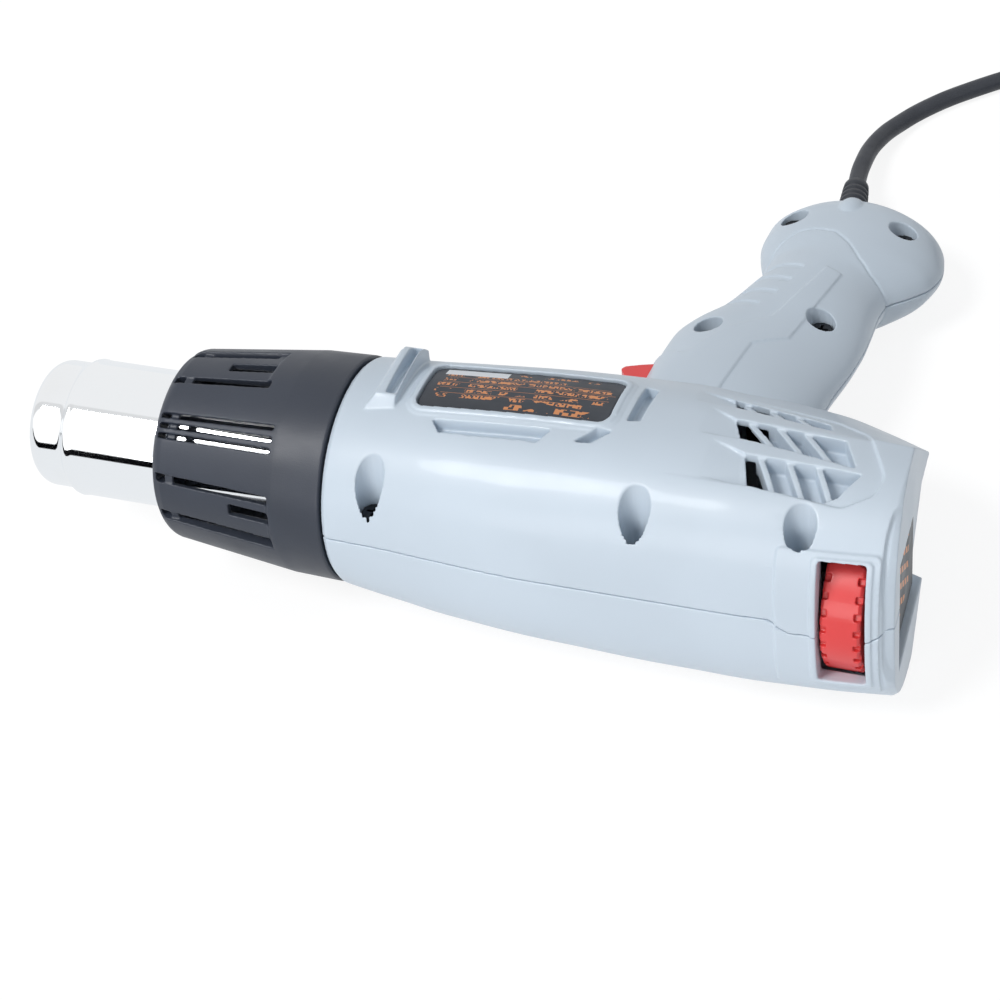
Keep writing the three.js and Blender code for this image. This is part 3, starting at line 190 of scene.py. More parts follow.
class Finish(Nodes):
    """A procedural material: a Principled shader with nodes before its sockets."""

    def __init__(self, name, colour, roughness, metallic=0.0, **sockets):
        self.material = bpy.data.materials.new(name)
        self.material.use_nodes = True
        super().__init__(self.material.node_tree)
        self.shader = self.tree.nodes["Principled BSDF"]
        self.material.diffuse_color = (*colour, 1)
        self.set("Base Color", colour)
        self.set("Roughness", roughness)
        self.set("Metallic", metallic)
        for key, value in sockets.items():
            self.set(key.replace("_", " "), value)

    def set(self, name, value):
        self.fill(self.shader.inputs[name], value)

    def tint(self, share, first, second):
        self.set("Base Color", self.blend(share, first, second))

    def place(self):
        """The point's place in the world, in metres."""
        return self.node("ShaderNodeTexCoord", {}, {}, "Object")

    def axes(self):
        """The point's place on the tool, in millimetres along the barrel."""
        seat = Vector((SHIFT.x, SHIFT.y, LIE_HEIGHT / 1000))
        values = {"Vector": self.place(), "Location": seat, "Rotation": (LEAN, 0, 0), "Scale": (0.001,) * 3}
        return self.parts(self.node("ShaderNodeMapping", {"vector_type": "TEXTURE"}, values))

    def noise(self, size, detail=3, roughness=0.5):
        """Cloudy noise whose blotches are about that many millimetres across."""
        values = {"Vector": self.place(), "Scale": 1000 / size, "Detail": detail, "Roughness": roughness}
        return self.number("ShaderNodeTexNoise", {}, values, "Fac")

    def chance(self, *cell):
        """A number from 0 to 1 drawn for each cell of whole places."""
        values = {"Vector": self.node("ShaderNodeCombineXYZ", {}, cell)}
        return self.number("ShaderNodeTexWhiteNoise", {"noise_dimensions": "3D"}, values, "Value")

    def between(self, value, low, high, start=0.0, end=1.0, kind="LINEAR"):
        values = {"Value": value, "From Min": low, "From Max": high, "To Min": start, "To Max": end}
        return self.number("ShaderNodeMapRange", {"interpolation_type": kind}, values)

    def clouds(self, size, detail, low, high, start=0.0, end=1.0):
        """Noise whose values between two levels run from start to end."""
        return self.between(self.noise(size, detail), low, high, start, end)

    def grain(self, height, distance, strength=1.0):
        """Makes the height, in millimetres, a bump that feeds the normal."""
        values = {"Height": height, "Distance": distance / 1000, "Strength": strength}
        self.set("Normal", self.node("ShaderNodeBump", {}, values, "Normal"))


def linear(red, green, blue):
    """A written colour, 0 to 255, as the light it stands for."""
    def one(value):
        value /= 255
        return value / 12.92 if value <= 0.04045 else ((value + 0.055) / 1.055) ** 2.4

    return tuple(one(value) for value in (red, green, blue))


def moulded(name, colour, roughness, grain, shade=0.06, **sockets):
    """Moulded plastic: an even colour, clouded a little, with a fine spark-eroded grain."""
    finish = Finish(name, colour, roughness, **sockets)
    dark = tuple(c * (1 - shade) for c in colour)
    pale = tuple(min(1, c * (1 + shade * 0.6)) for c in colour)
    finish.tint(finish.clouds(38, 2, 0.35, 0.65), dark, pale)
    finish.set("Roughness", finish.clouds(9, 4, 0.3, 0.7, roughness - 0.05, roughness + 0.05))
    speck = finish.noise(grain, 2, 0.6)
    finish.grain(speck + 0.4 * finish.noise(grain * 6, 2), grain * 0.12, 0.55)
    return finish


shell_plastic = moulded("shell_plastic", linear(199, 211, 222), 0.4, 0.3, 0.03, Coat_Weight=0.12)
collar_plastic = moulded("collar_plastic", linear(47, 53, 65), 0.44, 0.45, 0.12)
red_plastic = moulded("red_plastic", linear(228, 62, 62), 0.34, 0.35, 0.08, Coat_Weight=0.2)
inner_black = moulded("inner_black", linear(38, 41, 46), 0.5, 0.5, 0.15)
duct_plastic = moulded("duct_plastic", linear(205, 212, 219), 0.5, 0.5, 0.05)
plunger_nylon = moulded("plunger_nylon", linear(228, 228, 220), 0.45, 0.5, 0.05)


def chrome_plate():
    """Bright plate, a little yellowed by the heat towards the mouth."""
    finish = Finish("chrome_plate", (0.92, 0.94, 0.96), 0.05, 1.0)
    finish.set("Roughness", finish.clouds(16, 3, 0.35, 0.7, 0.035, 0.075))
    heat = finish.between(finish.axes()[0], -95, -70, 1.0, 0.0, "SMOOTHSTEP")
    heat = heat * finish.clouds(14, 3, 0.35, 0.75)
    finish.tint(0.3 * heat, (0.93, 0.95, 0.97), (0.84, 0.83, 0.82))
    finish.grain(finish.noise(5, 2), 0.006, 0.4)
    return finish


def plain_metal(name, colour, roughness, streak=2.0):
    """Bare or plated metal with fine streaks and a few dull spots."""
    finish = Finish(name, colour, roughness, 1.0)
    x, y, z = finish.axes()
    lay = finish.node("ShaderNodeCombineXYZ", {}, (x * 0.1, y * streak, z * streak))
    lines = finish.number("ShaderNodeTexNoise", {}, {"Vector": lay, "Scale": 1.0, "Detail": 5}, "Fac")
    finish.tint(0.35 * finish.clouds(5, 4, 0.5, 0.75), colour, tuple(c * 0.62 for c in colour))
    finish.set("Roughness", finish.between(lines, 0.3, 0.7, roughness - 0.06, roughness + 0.1))
    finish.grain(lines, 0.01, 0.5)
    return finish


nozzle_chrome = chrome_plate()
plated_steel = plain_metal("plated_steel", linear(176, 178, 182), 0.3)
black_oxide = plain_metal("black_oxide", linear(58, 60, 64), 0.5)
bare_aluminium = plain_metal("bare_aluminium", linear(196, 198, 202), 0.36)
pin_nickel = plain_metal("pin_nickel", linear(205, 203, 196), 0.22, 0.6)


def mica_sheet():
    finish = Finish("mica_sheet", linear(190, 172, 134), 0.32)
    finish.tint(finish.clouds(2.2, 4, 0.3, 0.7), linear(164, 143, 104), linear(208, 192, 152))
    finish.grain(finish.noise(0.8, 3), 0.05, 0.5)
    return finish


def ceramic():
    finish = Finish("ceramic", linear(226, 220, 206), 0.72)
    finish.tint(0.5 * finish.clouds(6, 4, 0.45, 0.75), linear(230, 225, 212), linear(160, 148, 130))
    finish.grain(finish.noise(0.4, 4), 0.06, 0.6)
    return finish


def heater_wire():
    finish = Finish("heater_wire", linear(120, 110, 104), 0.45, 1.0)
    finish.tint(finish.clouds(3, 4, 0.35, 0.65), linear(92, 84, 86), linear(150, 134, 118))
    finish.set("Roughness", finish.clouds(1.2, 3, 0.3, 0.7, 0.35, 0.6))
    finish.grain(finish.noise(0.5, 3), 0.02, 0.5)
    return finish


def board_lacquer():
    """Green lacquer over a pattern of tracks."""
    finish = Finish("board_lacquer", linear(40, 96, 52), 0.3, Coat_Weight=0.3)
    _, y, z = finish.axes()
    tracks = ((y * 0.3).part() < 0.45) * ((z * 0.11 + 0.3 * (y * 0.12).floor()).part() < 0.7)
    finish.tint(0.6 * tracks, linear(34, 84, 46), linear(70, 132, 66))
    finish.grain(tracks, 0.04, 0.6)
    return finish


def sheath(name, colour, roughness):
    """Cord sheath: soft black plastic with a fine grain and dust."""
    finish = Finish(name, colour, roughness)
    finish.tint(0.3 * finish.clouds(7, 5, 0.5, 0.85), colour, tuple(c * 1.8 + 0.01 for c in colour))
    finish.set("Roughness", finish.clouds(4, 3, 0.3, 0.7, roughness - 0.06, roughness + 0.08))
    finish.grain(finish.noise(0.6, 3), 0.03, 0.6)
    return finish


mica = mica_sheet()
white_ceramic = ceramic()
coil_wire = heater_wire()
board_green = board_lacquer()
capacitor_yellow = moulded("capacitor_yellow", linear(206, 164, 84), 0.35, 0.6, 0.08)
cord_sheath = sheath("cord_sheath", linear(44, 48, 56), 0.46)
cord_rubber = sheath("cord_rubber", linear(40, 44, 52), 0.52)


def plate(name, marks):
    """A printed black plate. A function of the finish places its plain marks."""
    finish = Finish(name, linear(46, 52, 60), 0.42)
    black = finish.blend(finish.clouds(12, 3, 0.35, 0.65), linear(42, 47, 55), linear(52, 58, 67))
    finish.set("Base Color", marks(finish, black))
    finish.set("Roughness", finish.clouds(5, 3, 0.3, 0.7, 0.36, 0.5))
    finish.grain(finish.noise(0.5, 2), 0.02, 0.5)
    return finish


ORANGE = linear(214, 142, 92)
STRIP_WHITE = linear(232, 236, 240)
# Rows of plain marks on the label: middle, height, both ends, mark width and share printed
LABEL_ROWS = [
    (7.6, 1.0, 44, 72, 0.5, 0.6), (5.2, 1.1, 25, 58, 0.36, 0.7), (3.0, 1.25, 25, 71, 0.42, 0.75),
    (0.6, 1.35, 24, 71, 0.42, 0.8), (-1.9, 1.35, 24, 70, 0.45, 0.8), (-4.2, 1.5, 25, 67, 0.5, 0.85),
    (-7.0, 2.1, 45, 57, 0.7, 0.95), (-7.0, 2.3, 58.5, 68, 0.8, 0.95),
]
LABEL_RULES = [(4.2, 26, 70), (1.8, 25, 72), (-0.7, 25, 71), (-3.1, 26, 56)]
RULE_HALF = 0.09
RULE_INK = 0.55
MARK_LEVELS = 2.5


def label_marks(finish, black):
    """Rows of small orange marks, thin orange rules, and a pale strip at the upper left."""
    x, y, _ = finish.axes()
    ink = None
    for k, (middle, height, first, last, width, share) in enumerate(LABEL_ROWS):
        level = ((y - middle) / height * MARK_LEVELS).floor()
        chance = finish.chance((x / width).floor(), level, k + 3.0)
        gaps = finish.noise(5, 1) < 0.46 + 0.16 * share
        row = y.within(middle - height / 2, middle + height / 2) * x.within(first, last)
        marks = row * (chance < share * 0.72) * gaps
        ink = marks if ink is None else ink + marks
    for middle, first, last in LABEL_RULES:
        ink = ink + RULE_INK * y.within(middle - RULE_HALF, middle + RULE_HALF) * x.within(first, last)
    colour = finish.blend((ink < 1.0) * ink + (ink > 0.99), black, ORANGE)
    strip = x.within(24.2, 41.5) * y.within(5.5, 8.4)
    return finish.blend(0.92 * strip, colour, STRIP_WHITE)


def badge_marks(finish, black):
    """Short slanted orange marks in a column on the rear badge."""
    _, y, z = finish.axes()
    slant = (z * 0.2 + y * 0.12).part()
    broken = (y * 0.3 + z * 0.07).part() < 0.72
    column = (z.size() < 13.0) * ((y + 6.0).size() < 10.5)
    return finish.blend((slant < 0.42) * column * broken, black, ORANGE)


label_plate = plate("label_plate", label_marks)
badge_plate = plate("badge_plate", badge_marks)

# ------------ solids


def made(bm):
    """The mesh of a bmesh, its faces all turned outwards."""
    bmesh.ops.recalc_face_normals(bm, faces=bm.faces[:])
    mesh = bpy.data.meshes.new("solid")
    bm.to_mesh(mesh)
    bm.free()
    return mesh


def worked(data, *modifiers):
    """The mesh of some data after modifiers, each given as its kind and settings."""
    holder = bpy.data.objects.new("work", data)
    scene.collection.objects.link(holder)
    for kind, settings in modifiers:
        modifier = holder.modifiers.new(kind.lower(), kind)
        for key, value in settings.items():
            setattr(modifier, key, value)
    ready = holder.evaluated_get(bpy.context.evaluated_depsgraph_get())
    result = bpy.data.meshes.new_from_object(ready)
    bpy.data.objects.remove(holder)
    return result


def combined(operation, first, *others):
    """Adds, cuts or crosses solids one after another."""
    for other in others:
        tool = bpy.data.objects.new("tool", other)
        scene.collection.objects.link(tool)
        tool.hide_render = True
        settings = {"operation": operation, "solver": "MANIFOLD", "object": tool}
        result = worked(first, ("BOOLEAN", settings))
        bpy.data.objects.remove(tool)
        first = result
    return first


def added(first, *others):
    return combined("UNION", first, *others)


def cut(first, *others):
    return combined("DIFFERENCE", first, *others)


def crossed(first, *others):
    return combined("INTERSECT", first, *others)


def beside(*meshes):
    """Solids that don't touch, as one mesh."""
    bm = bmesh.new()
    for mesh in meshes:
        bm.from_mesh(mesh)
    return made(bm)


def bevelled(bm, edges, size, segments):
    bmesh.ops.bevel(bm, geom=edges, offset=size, offset_type="OFFSET", segments=segments, profile=0.5,
                    affect="EDGES", material=-1)


def block(x0, x1, y0, y1, z0, z1, rounding=0.0):
    bm = bmesh.new()
    bmesh.ops.create_cube(bm, size=1)
    bmesh.ops.scale(bm, verts=bm.verts[:], vec=(x1 - x0, y1 - y0, z1 - z0))
    bmesh.ops.translate(bm, verts=bm.verts[:], vec=((x0 + x1) / 2, (y0 + y1) / 2, (z0 + z1) / 2))
    if rounding:
        bevelled(bm, bm.edges[:], rounding, 3)
    return made(bm)


def prism(outline, z0, z1, rounding=0.0):
    """An outline in X and Y carried up from z0 to z1, its upright edges rounded."""
    bm = bmesh.new()
    face = bm.faces.new([bm.verts.new((x, y, z0)) for x, y in outline])
    lifted = bmesh.ops.extrude_face_region(bm, geom=[face])["geom"]
    top = [item for item in lifted if isinstance(item, bmesh.types.BMVert)]
    bmesh.ops.translate(bm, verts=top, vec=(0, 0, z1 - z0))
    if rounding:
        upright = [e for e in bm.edges if abs(e.verts[0].co.z - e.verts[1].co.z) > (z1 - z0) / 2]
        bevelled(bm, upright, rounding, 6)
    return made(bm)


def moved(mesh, matrix):
    """The solid in another place; a mirror image gets its normals worked out again."""
    copy = mesh.copy()
    copy.transform(matrix)
    if matrix.determinant() > 0:
        return copy
    bm = bmesh.new()
    bm.from_mesh(copy)
    return made(bm)


def turned(profile, sides):
    """A solid turned about the barrel's axis from points of X and radius."""
    bm = bmesh.new()
    verts = [bm.verts.new((x, radius, 0)) for x, radius in profile]
    edges = [bm.edges.new(pair) for pair in zip(verts, verts[1:] + verts[:1])]
    bmesh.ops.spin(bm, geom=verts + edges, cent=(0, 0, 0), axis=(1, 0, 0), dvec=(0, 0, 0),
                   angle=2 * math.pi, steps=sides, use_merge=True, use_duplicate=False)
    bmesh.ops.remove_doubles(bm, verts=bm.verts[:], dist=1e-4)
    return made(bm)


def bar(x0, x1, y, z, radius, sides=64):
    """A round bar along X."""
    outline = [(x0, 0), (x1, 0), (x1, radius), (x0, radius)]
    return moved(turned(outline, sides), Matrix.Translation((0, y, z)))


def post(x, y, z0, z1, radius, sides=48):
    """A round bar along Z."""
    stand = Matrix.Translation((x, y, 0)) @ Matrix.Rotation(-math.pi / 2, 4, "Y")
    return moved(bar(z0, z1, 0, 0, radius, sides), stand)


def squashed(value, power):
    """A sine or cosine pushed outwards: power 2 is round, more is squarer."""
    return math.copysign(abs(value) ** (2 / power), value)


def smooth_stations(stations, steps):
    """More stations between the given ones, on curves that never overshoot."""
    places = [station[0] for station in stations]
    gaps = [b - a for a, b in zip(places, places[1:])]
    columns = []
    for column in zip(*stations):
        slopes = [(b - a) / gap for a, b, gap in zip(column, column[1:], gaps)]
        tangents = [slopes[0]]
        for before, after in zip(slopes, slopes[1:]):
            tangents.append(2 * before * after / (before + after) if before * after > 0 else 0)
        tangents.append(slopes[-1])
        values = []
        for k, gap in enumerate(gaps):
            for step in range(steps):
                t = step / steps
                values.append(
                    column[k] * (1 + 2 * t) * (1 - t) ** 2 + tangents[k] * gap * t * (1 - t) ** 2
                    + column[k + 1] * t * t * (3 - 2 * t) - tangents[k + 1] * gap * t * t * (1 - t)
                )
        columns.append(values + [column[-1]])
    return list(zip(*columns))


def skinned(stations, sides, place):
    """A skin drawn along stations; place(station, cosine, sine) gives a point of its ring."""
    bm = bmesh.new()
    turn = bm.verts.layers.float.new("turn")
    bmesh.ops.create_circle(bm, segments=sides, radius=1)
    for vert in bm.verts:
        vert[turn] = math.atan2(vert.co.y, vert.co.x)
    ring = bm.verts[:]
    edges = bm.edges[:]
    bmesh.ops.contextual_create(bm, geom=edges)
    for k, station in enumerate(stations):
        if k:
            grown = bmesh.ops.extrude_edge_only(bm, edges=edges)["geom"]
            ring = [item for item in grown if isinstance(item, bmesh.types.BMVert)]
            edges = [item for item in grown if isinstance(item, bmesh.types.BMEdge)]
        for vert in ring:
            vert.co = place(station, math.cos(vert[turn]), math.sin(vert[turn]))
    bmesh.ops.contextual_create(bm, geom=edges)
    return made(bm)


# ------------ shell

# Along the barrel: place, reach to the top, side and bottom, and how square the upper and
# lower corners are
BARREL = [
    (0.3, 29.8, 29.5, 29.5, 2.05, 2),
    (1.6, 30.8, 30.5, 30.5, 2.05, 2),
    (17, 31.4, 31.4, 31.2, 2.35, 2),
    (31, 32.6, 32.5, 32.2, 2.5, 2),
    (59, 34.3, 34.3, 34, 2.52, 2),
    (87, 34.3, 34.9, 35.6, 2.66, 1.96),
    (100, 34.3, 34.8, 41, 2.7, 1.6),
    (112, 34.2, 34.8, 47, 2.75, 1.35),
    (124, 33.6, 34.6, 48, 2.75, 1.22),
    (134, 33, 34.4, 45.7, 2.75, 1.13),
    (149.6, 31.6, 33.4, 39.2, 2.75, 1.04),
    (152, 30.4, 31.8, 37.4, 2.7, 1.04),
]
BARREL_SIDES = 144

# Down the handle: place, front edge, rear edge and half thickness
HANDLE = [
    (20, 62, 111, 14.8),
    (58, 62.6, 113, 15),
    (72, 63.4, 115.2, 14.6),
    (77, 65.4, 115.8, 14.4),
    (86, 72, 116.4, 14.2),
    (100, 77.6, 116.2, 14.1),
    (106.5, 79.8, 117, 14.2),
    (112, 79.8, 122.2, 14.4),
    (118.5, 77.2, 127.2, 14.9),
    (126, 75.2, 128.8, 15.2),
    (133, 75.4, 127.8, 14.8),
    (139, 78.8, 125, 13.4),
    (143.2, 83.8, 119.4, 10.8),
    (146, 90.6, 111, 6.8),
    (146.8, 95, 105.4, 4.4),
]
HANDLE_SIDES = 96
HANDLE_CORNER = 2.05
HANDLE_REAR_CORNER = 1.8
REAR = Matrix.Translation((151.8, -33, 0)) @ Matrix.Rotation(math.radians(4.2), 4, "Z")
RELIEF_SEAT = (97.4, 139.6, 0)
RELIEF_LEAN = 8.5
RELIEF = Matrix.Translation(RELIEF_SEAT) @ Matrix.Rotation(math.radians(90 + RELIEF_LEAN), 4, "Z")
SCREWS = [
    (14.2, -26.4), (86, -28.4), (127.5, -26.8), (75.9, 69.5), (104.8, 80.5), (84.3, 130.2), (116.4, 129.1),
]
HEAD_SEAT = 5.5
WELL_RADIUS = 4
SHANK_RADIUS = 2
DIAL_Y = -13
DIAL_Z = -3
DIAL_RADIUS = 20.4
WINDOW = (132.9, 144.9, -18, 19.5)
SPIGOT_RADIUS = 27
SPIGOT_LENGTH = 9

# Ways to stand a prism that was drawn flat: drawn in Y and Z, or in X and Z
ALONG_X = Matrix(((0, 0, 1, 0), (1, 0, 0, 0), (0, 1, 0, 0), (0, 0, 0, 1)))
ALONG_Y = Matrix(((1, 0, 0, 0), (0, 0, 1, 0), (0, 1, 0, 0), (0, 0, 0, 1)))


def barrel_form(inset=0.0, stations=None, sides=BARREL_SIDES):
    """The barrel's outer form, or that form shrunk all round by the inset."""
    def place(station, cosine, sine):
        x, top, side, bottom, upper, lower = station
        power = upper if cosine > 0 else lower
        reach = (top if cosine > 0 else bottom) - inset
        return Vector((x, -squashed(cosine, power) * reach, squashed(sine, power) * (side - inset)))

    stations = stations or BARREL[:1] + smooth_stations(BARREL[1:-1], 5) + BARREL[-1:]
    return skinned(stations, sides, place)


def handle_form(inset=0.0, end=200):
    """The handle's outer form down to an end, or that form shrunk by the inset."""
    def place(station, cosine, sine):
        y, front, rear, thick = station
        half = (rear - front) / 2 - inset
        power = HANDLE_REAR_CORNER if cosine > 0 else HANDLE_CORNER
        x = (front + rear) / 2 + squashed(cosine, power) * half
        return Vector((x, y, squashed(sine, power) * (thick - inset)))

    stations = [station for station in HANDLE if station[0] <= end]
    return skinned(smooth_stations(stations, 5), HANDLE_SIDES, place)


def rear_block(x0, x1, y0, y1, z0, z1, rounding=0.0):
    return moved(block(x0, x1, y0, y1, z0, z1, rounding), REAR)


def fin(side):
    """The curved fin beside the collar: a slope in front, a hollow behind, both ends closed."""
    peak, reach, rise, fall = 8, 34.6, 0.006, 0.075
    crest = [(y, reach - (rise if y < peak else fall) * (y - peak) ** 2) for y in range(-8, 16)]
    wall = moved(prism([(-11.6, 29.2), (-8.7, 33), *crest, (15.2, 25), (-11.6, 26)], 8, 16), ALONG_X)
    hollow = [(12.8, 40), (12.8, 31), (13.2, 29.2), (14, 28.3), (15.5, 28.1), (15.7, 40)]
    slope = [(7, 40), (7, 29.4), (8.7, 30.6), (10, 32.4), (11, 34.2), (11.5, 36), (11.6, 40)]
    hollow = moved(prism(hollow, -7.8, 12.6), ALONG_Y)
    return mirrored(cut(wall, hollow, moved(prism(slope, -20, 30), ALONG_Y)), side)


# Grooves beside the label: outline, depth, and how many degrees the floor leans
GROOVES = [
    ([(27.4, -13.2), (60, -13.2), (57.2, -17.4), (30.4, -16.9)], 2.3, 34),
    ([(66.3, -16), (70.9, -16), (75.7, -11.3), (71.3, -11.2)], 3.3, 0),
    ([(78.1, 9), (81.8, 7.6), (81.2, -6.6), (77.8, -7.2)], 3.3, 0),
]
# Each grille row: front edge and rear edge from the handle side to the top, then its ribs
GRILLE = [
    ([(100.8, 11.5), (102.7, 6.2), (128, 2.8), (126, 8.6)],
     [((103.6, 11), (109, 5)), ((110.4, 10.4), (116, 4.2)), ((117.4, 9.6), (123, 3.4))]),
    ([(104.2, 0), (107.4, -7.2), (137.3, -10.8), (132.7, -1.6)],
     [((107.5, 0.6), (116.4, -8.9)), ((114.9, 0.2), (123.9, -9.8)), ((122, -0.3), (131.3, -10.9))]),
    ([(109.8, -12.2), (112.7, -21), (132, -21.6), (135, -19.8), (139.3, -12.2)],
     [((113.4, -11.5), (119.6, -22)), ((120.6, -11.5), (126.9, -22)), ((128, -11.5), (134, -22))]),
]
# The ramp before the middle, top and handle-side rows, and where each starts to sink
RAMPS = [
    ([(92.7, 5.9), (96.6, -7.4), (107.4, -7.2), (104.2, 0)], 95.5),
    ([(96.6, -7.4), (98.5, -20.6), (112.7, -21), (109.8, -12.2)], 99),
    ([(86.8, 13.1), (92.7, 5.9), (102.7, 6.2), (100.8, 11.5)], 91),
]
TROUGH_DEPTH = 1.5
POCKET_FLOOR = 5.2
RIB_WIDTH = 1.5
# On the right side: the flat round the grille, the handle's panel, its line and its grip grooves
FACET = [(86, -21.2), (113, -21.4), (136.5, -22.6), (143.6, -18), (144.9, -12.4), (141.2, -4.8), (136, 6),
         (128, 11.8), (84, 14)]
PANEL = [(55, 62), (67.5, 58.6), (73.3, 54.5), (82.6, 67.4), (92.5, 74), (100.8, 102.8), (105.3, 101.8),
         (99.4, 67), (90.8, 60.2), (88.3, 39.6), (88, 20), (55, 20)]
BULGE_LINE = [(76, 105.5), (79.4, 111), (83.5, 117.6), (88, 121), (93, 121.3), (99, 120), (104, 115.5),
              (108, 110.8), (112, 108), (118, 106.4), (124, 104)]
GRIPS = [((82, 105.2), (94.3, 101.4)), ((80.5, 98.6), (92.6, 94.2)), ((79, 91.2), (90.4, 87.4)),
         ((77, 84.6), (87.1, 80.4))]


def band(points, width):
    """The outline of a line of that width through points in X and Y."""
    left, right = [], []
    for k, (x, y) in enumerate(points):
        ax, ay = points[max(k - 1, 0)]
        bx, by = points[min(k + 1, len(points) - 1)]
        reach = math.hypot(bx - ax, by - ay)
        nx, ny = -(by - ay) / reach * width / 2, (bx - ax) / reach * width / 2
        left.append((x + nx, y + ny))
        right.append((x - nx, y - ny))
    return left + right[::-1]


def tilted(mesh, pivot, slope):
    """The solid turned about a line across the side, so that it sinks towards the rear."""
    return swung(mesh, (pivot, 0, 34), math.atan(slope), "Y")


def swung(mesh, pivot, angle, axis):
    """The solid turned about a line through a point along an axis."""
    seat = Matrix.Translation(pivot)
    return moved(mesh, seat @ Matrix.Rotation(angle, 4, axis) @ seat.inverted())


def mirrored(mesh, side):
    """The solid itself for the right side, or its mirror image for the left."""
    return mesh if side > 0 else moved(mesh, Matrix.Scale(-1, 4, (0, 0, 1)))


def raised(area, form, height):
    """What of an area stands that high over a form."""
    return crossed(area, form(-height))


def grille_cut(full_form):
    """Facet, ramps, troughs and pockets of the grille on the right side."""
    trough = cut(beside(*(prism(outline, 15, FAR) for outline, _ in GRILLE)), barrel_form(TROUGH_DEPTH))
    slope = TROUGH_DEPTH / 11
    ramps = [cut(prism(outline, 20, FAR), tilted(full_form, pivot, slope)) for outline, pivot in RAMPS]
    facet = cut(prism(FACET, 20, FAR, 1.5), tilted(full_form, 88, 0.8 / 54))
    floor = barrel_form(POCKET_FLOOR)
    pockets = []
    for outline, ribs in GRILLE:
        walls = beside(*(prism(band(rib, RIB_WIDTH), 10, FAR + 5) for rib in ribs))
        front = prism([outline[0], outline[1], ribs[0][1], ribs[0][0]], 0, FAR)
        pocket = added(cut(prism(outline, 15, FAR), floor), crossed(front, prism(outline, 5, FAR)))
        pockets.append(cut(pocket, crossed(walls, barrel_form(TROUGH_DEPTH * 0.6))))
    return [facet, *ramps, trough] + pockets


def bevel_tools():
    """What the bevel round the rear end takes away along its top side."""
    outline = [(148.3, -60), (148.3, -33.5), (149, -30.6), (151.9, -27.2), (170, -10), (170, -60)]
    wedge = prism(outline, -FAR, FAR)
    return [wedge, moved(wedge, Matrix.Rotation(math.radians(-24), 4, "X"))]


def pocket_backing():
    """Thickening behind the grille that gives its pockets their floors."""
    area = block(112.5, 142.5, -22.5, 12.5, 0, FAR)
    return cut(crossed(area, barrel_form(WALL / 2)), barrel_form(POCKET_FLOOR + 1.3))


def groove_backing():
    """Thickening behind the fin and the grooves."""
    areas = [(9, 18, -9.5, 14), (25, 62, -19.5, -11.5), (64, 78, -18, -9.5), (76.2, 83.6, -8.8, 10.6)]
    areas = beside(*(block(*area, 20, FAR) for area in areas))
    return cut(crossed(areas, barrel_form(WALL / 2)), barrel_form(4.6))


def cad_insides(node):
    """Ribs, posts and seats of the CAD shell, cleared of its outer walls."""
    bm = bmesh.new()
    bm.from_mesh(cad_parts[node].data)
    bmesh.ops.remove_doubles(bm, verts=bm.verts[:], dist=1e-6)
    inside = made(bm)
    inside.transform(TOOL.inverted())
    return crossed(inside, added(barrel_form(1.3), handle_form(1.3)))


def handle_grip(side):
    """The handle with its raised panel, the line round its swelling and the grip grooves."""
    panel = raised(prism(PANEL, 0, FAR), handle_form, 0.55)
    line = cut(prism(band(BULGE_LINE, 0.9), 0, FAR), handle_form(0.45))
    grips = cut(beside(*(prism(band(pair, 2.4), 0, FAR, 1) for pair in GRIPS)), handle_form(0.5))
    return cut(added(handle_form(), mirrored(panel, side)), mirrored(line, side), mirrored(grips, side))


def dial_surround():
    """The raised pad round the dial's window and the frame on it."""
    pad = raised(block(122.5, 148.2, -FAR, -12, -23, 21.3, 1.5), barrel_form, 0.75)
    return [pad, raised(block(131.4, 146.4, -FAR, -12, -19.6, 20.2, 1.2), barrel_form, 1.35)]


def openings():
    """What is cut from both shells: dial window, trigger slot, relief seat and badge recess."""
    x0, x1, z0, z1 = WINDOW
    window = block(x0, x1, -FAR, DIAL_Y, z0, z1, 1.0)
    slot = block(54.5, 76.8, 40.7, 58.8, -5.9, 5.9)
    seat = [moved(bar(-1, 2.5, 0, 0, 6.9), RELIEF), moved(bar(0, FAR, 0, 0, 4.2), RELIEF)]
    return [window, slot, *seat, rear_block(-3.4, FAR, 11.5, 2 * FAR, -20.5, 13, 0.6)]


def right_cuts():
    """What is cut from the right shell alone: screw wells, label recess and grooves."""
    wells = beside(*(post(x, y, HEAD_SEAT, FAR, WELL_RADIUS) for x, y in SCREWS))
    shanks = beside(*(post(x, y, 0, HEAD_SEAT + 1, SHANK_RADIUS) for x, y in SCREWS))
    cuts = [wells, shanks, cut(label_area(0), barrel_form(LABEL_DEPTH))]
    for outline, depth, lean in GROOVES:
        middle = sum(y for _, y in outline) / len(outline)
        floor_form = swung(barrel_form(depth), (0, middle, 31), math.radians(-lean), "X")
        cuts.append(cut(prism(outline, 20, FAR, 0.4), floor_form))
    return cuts


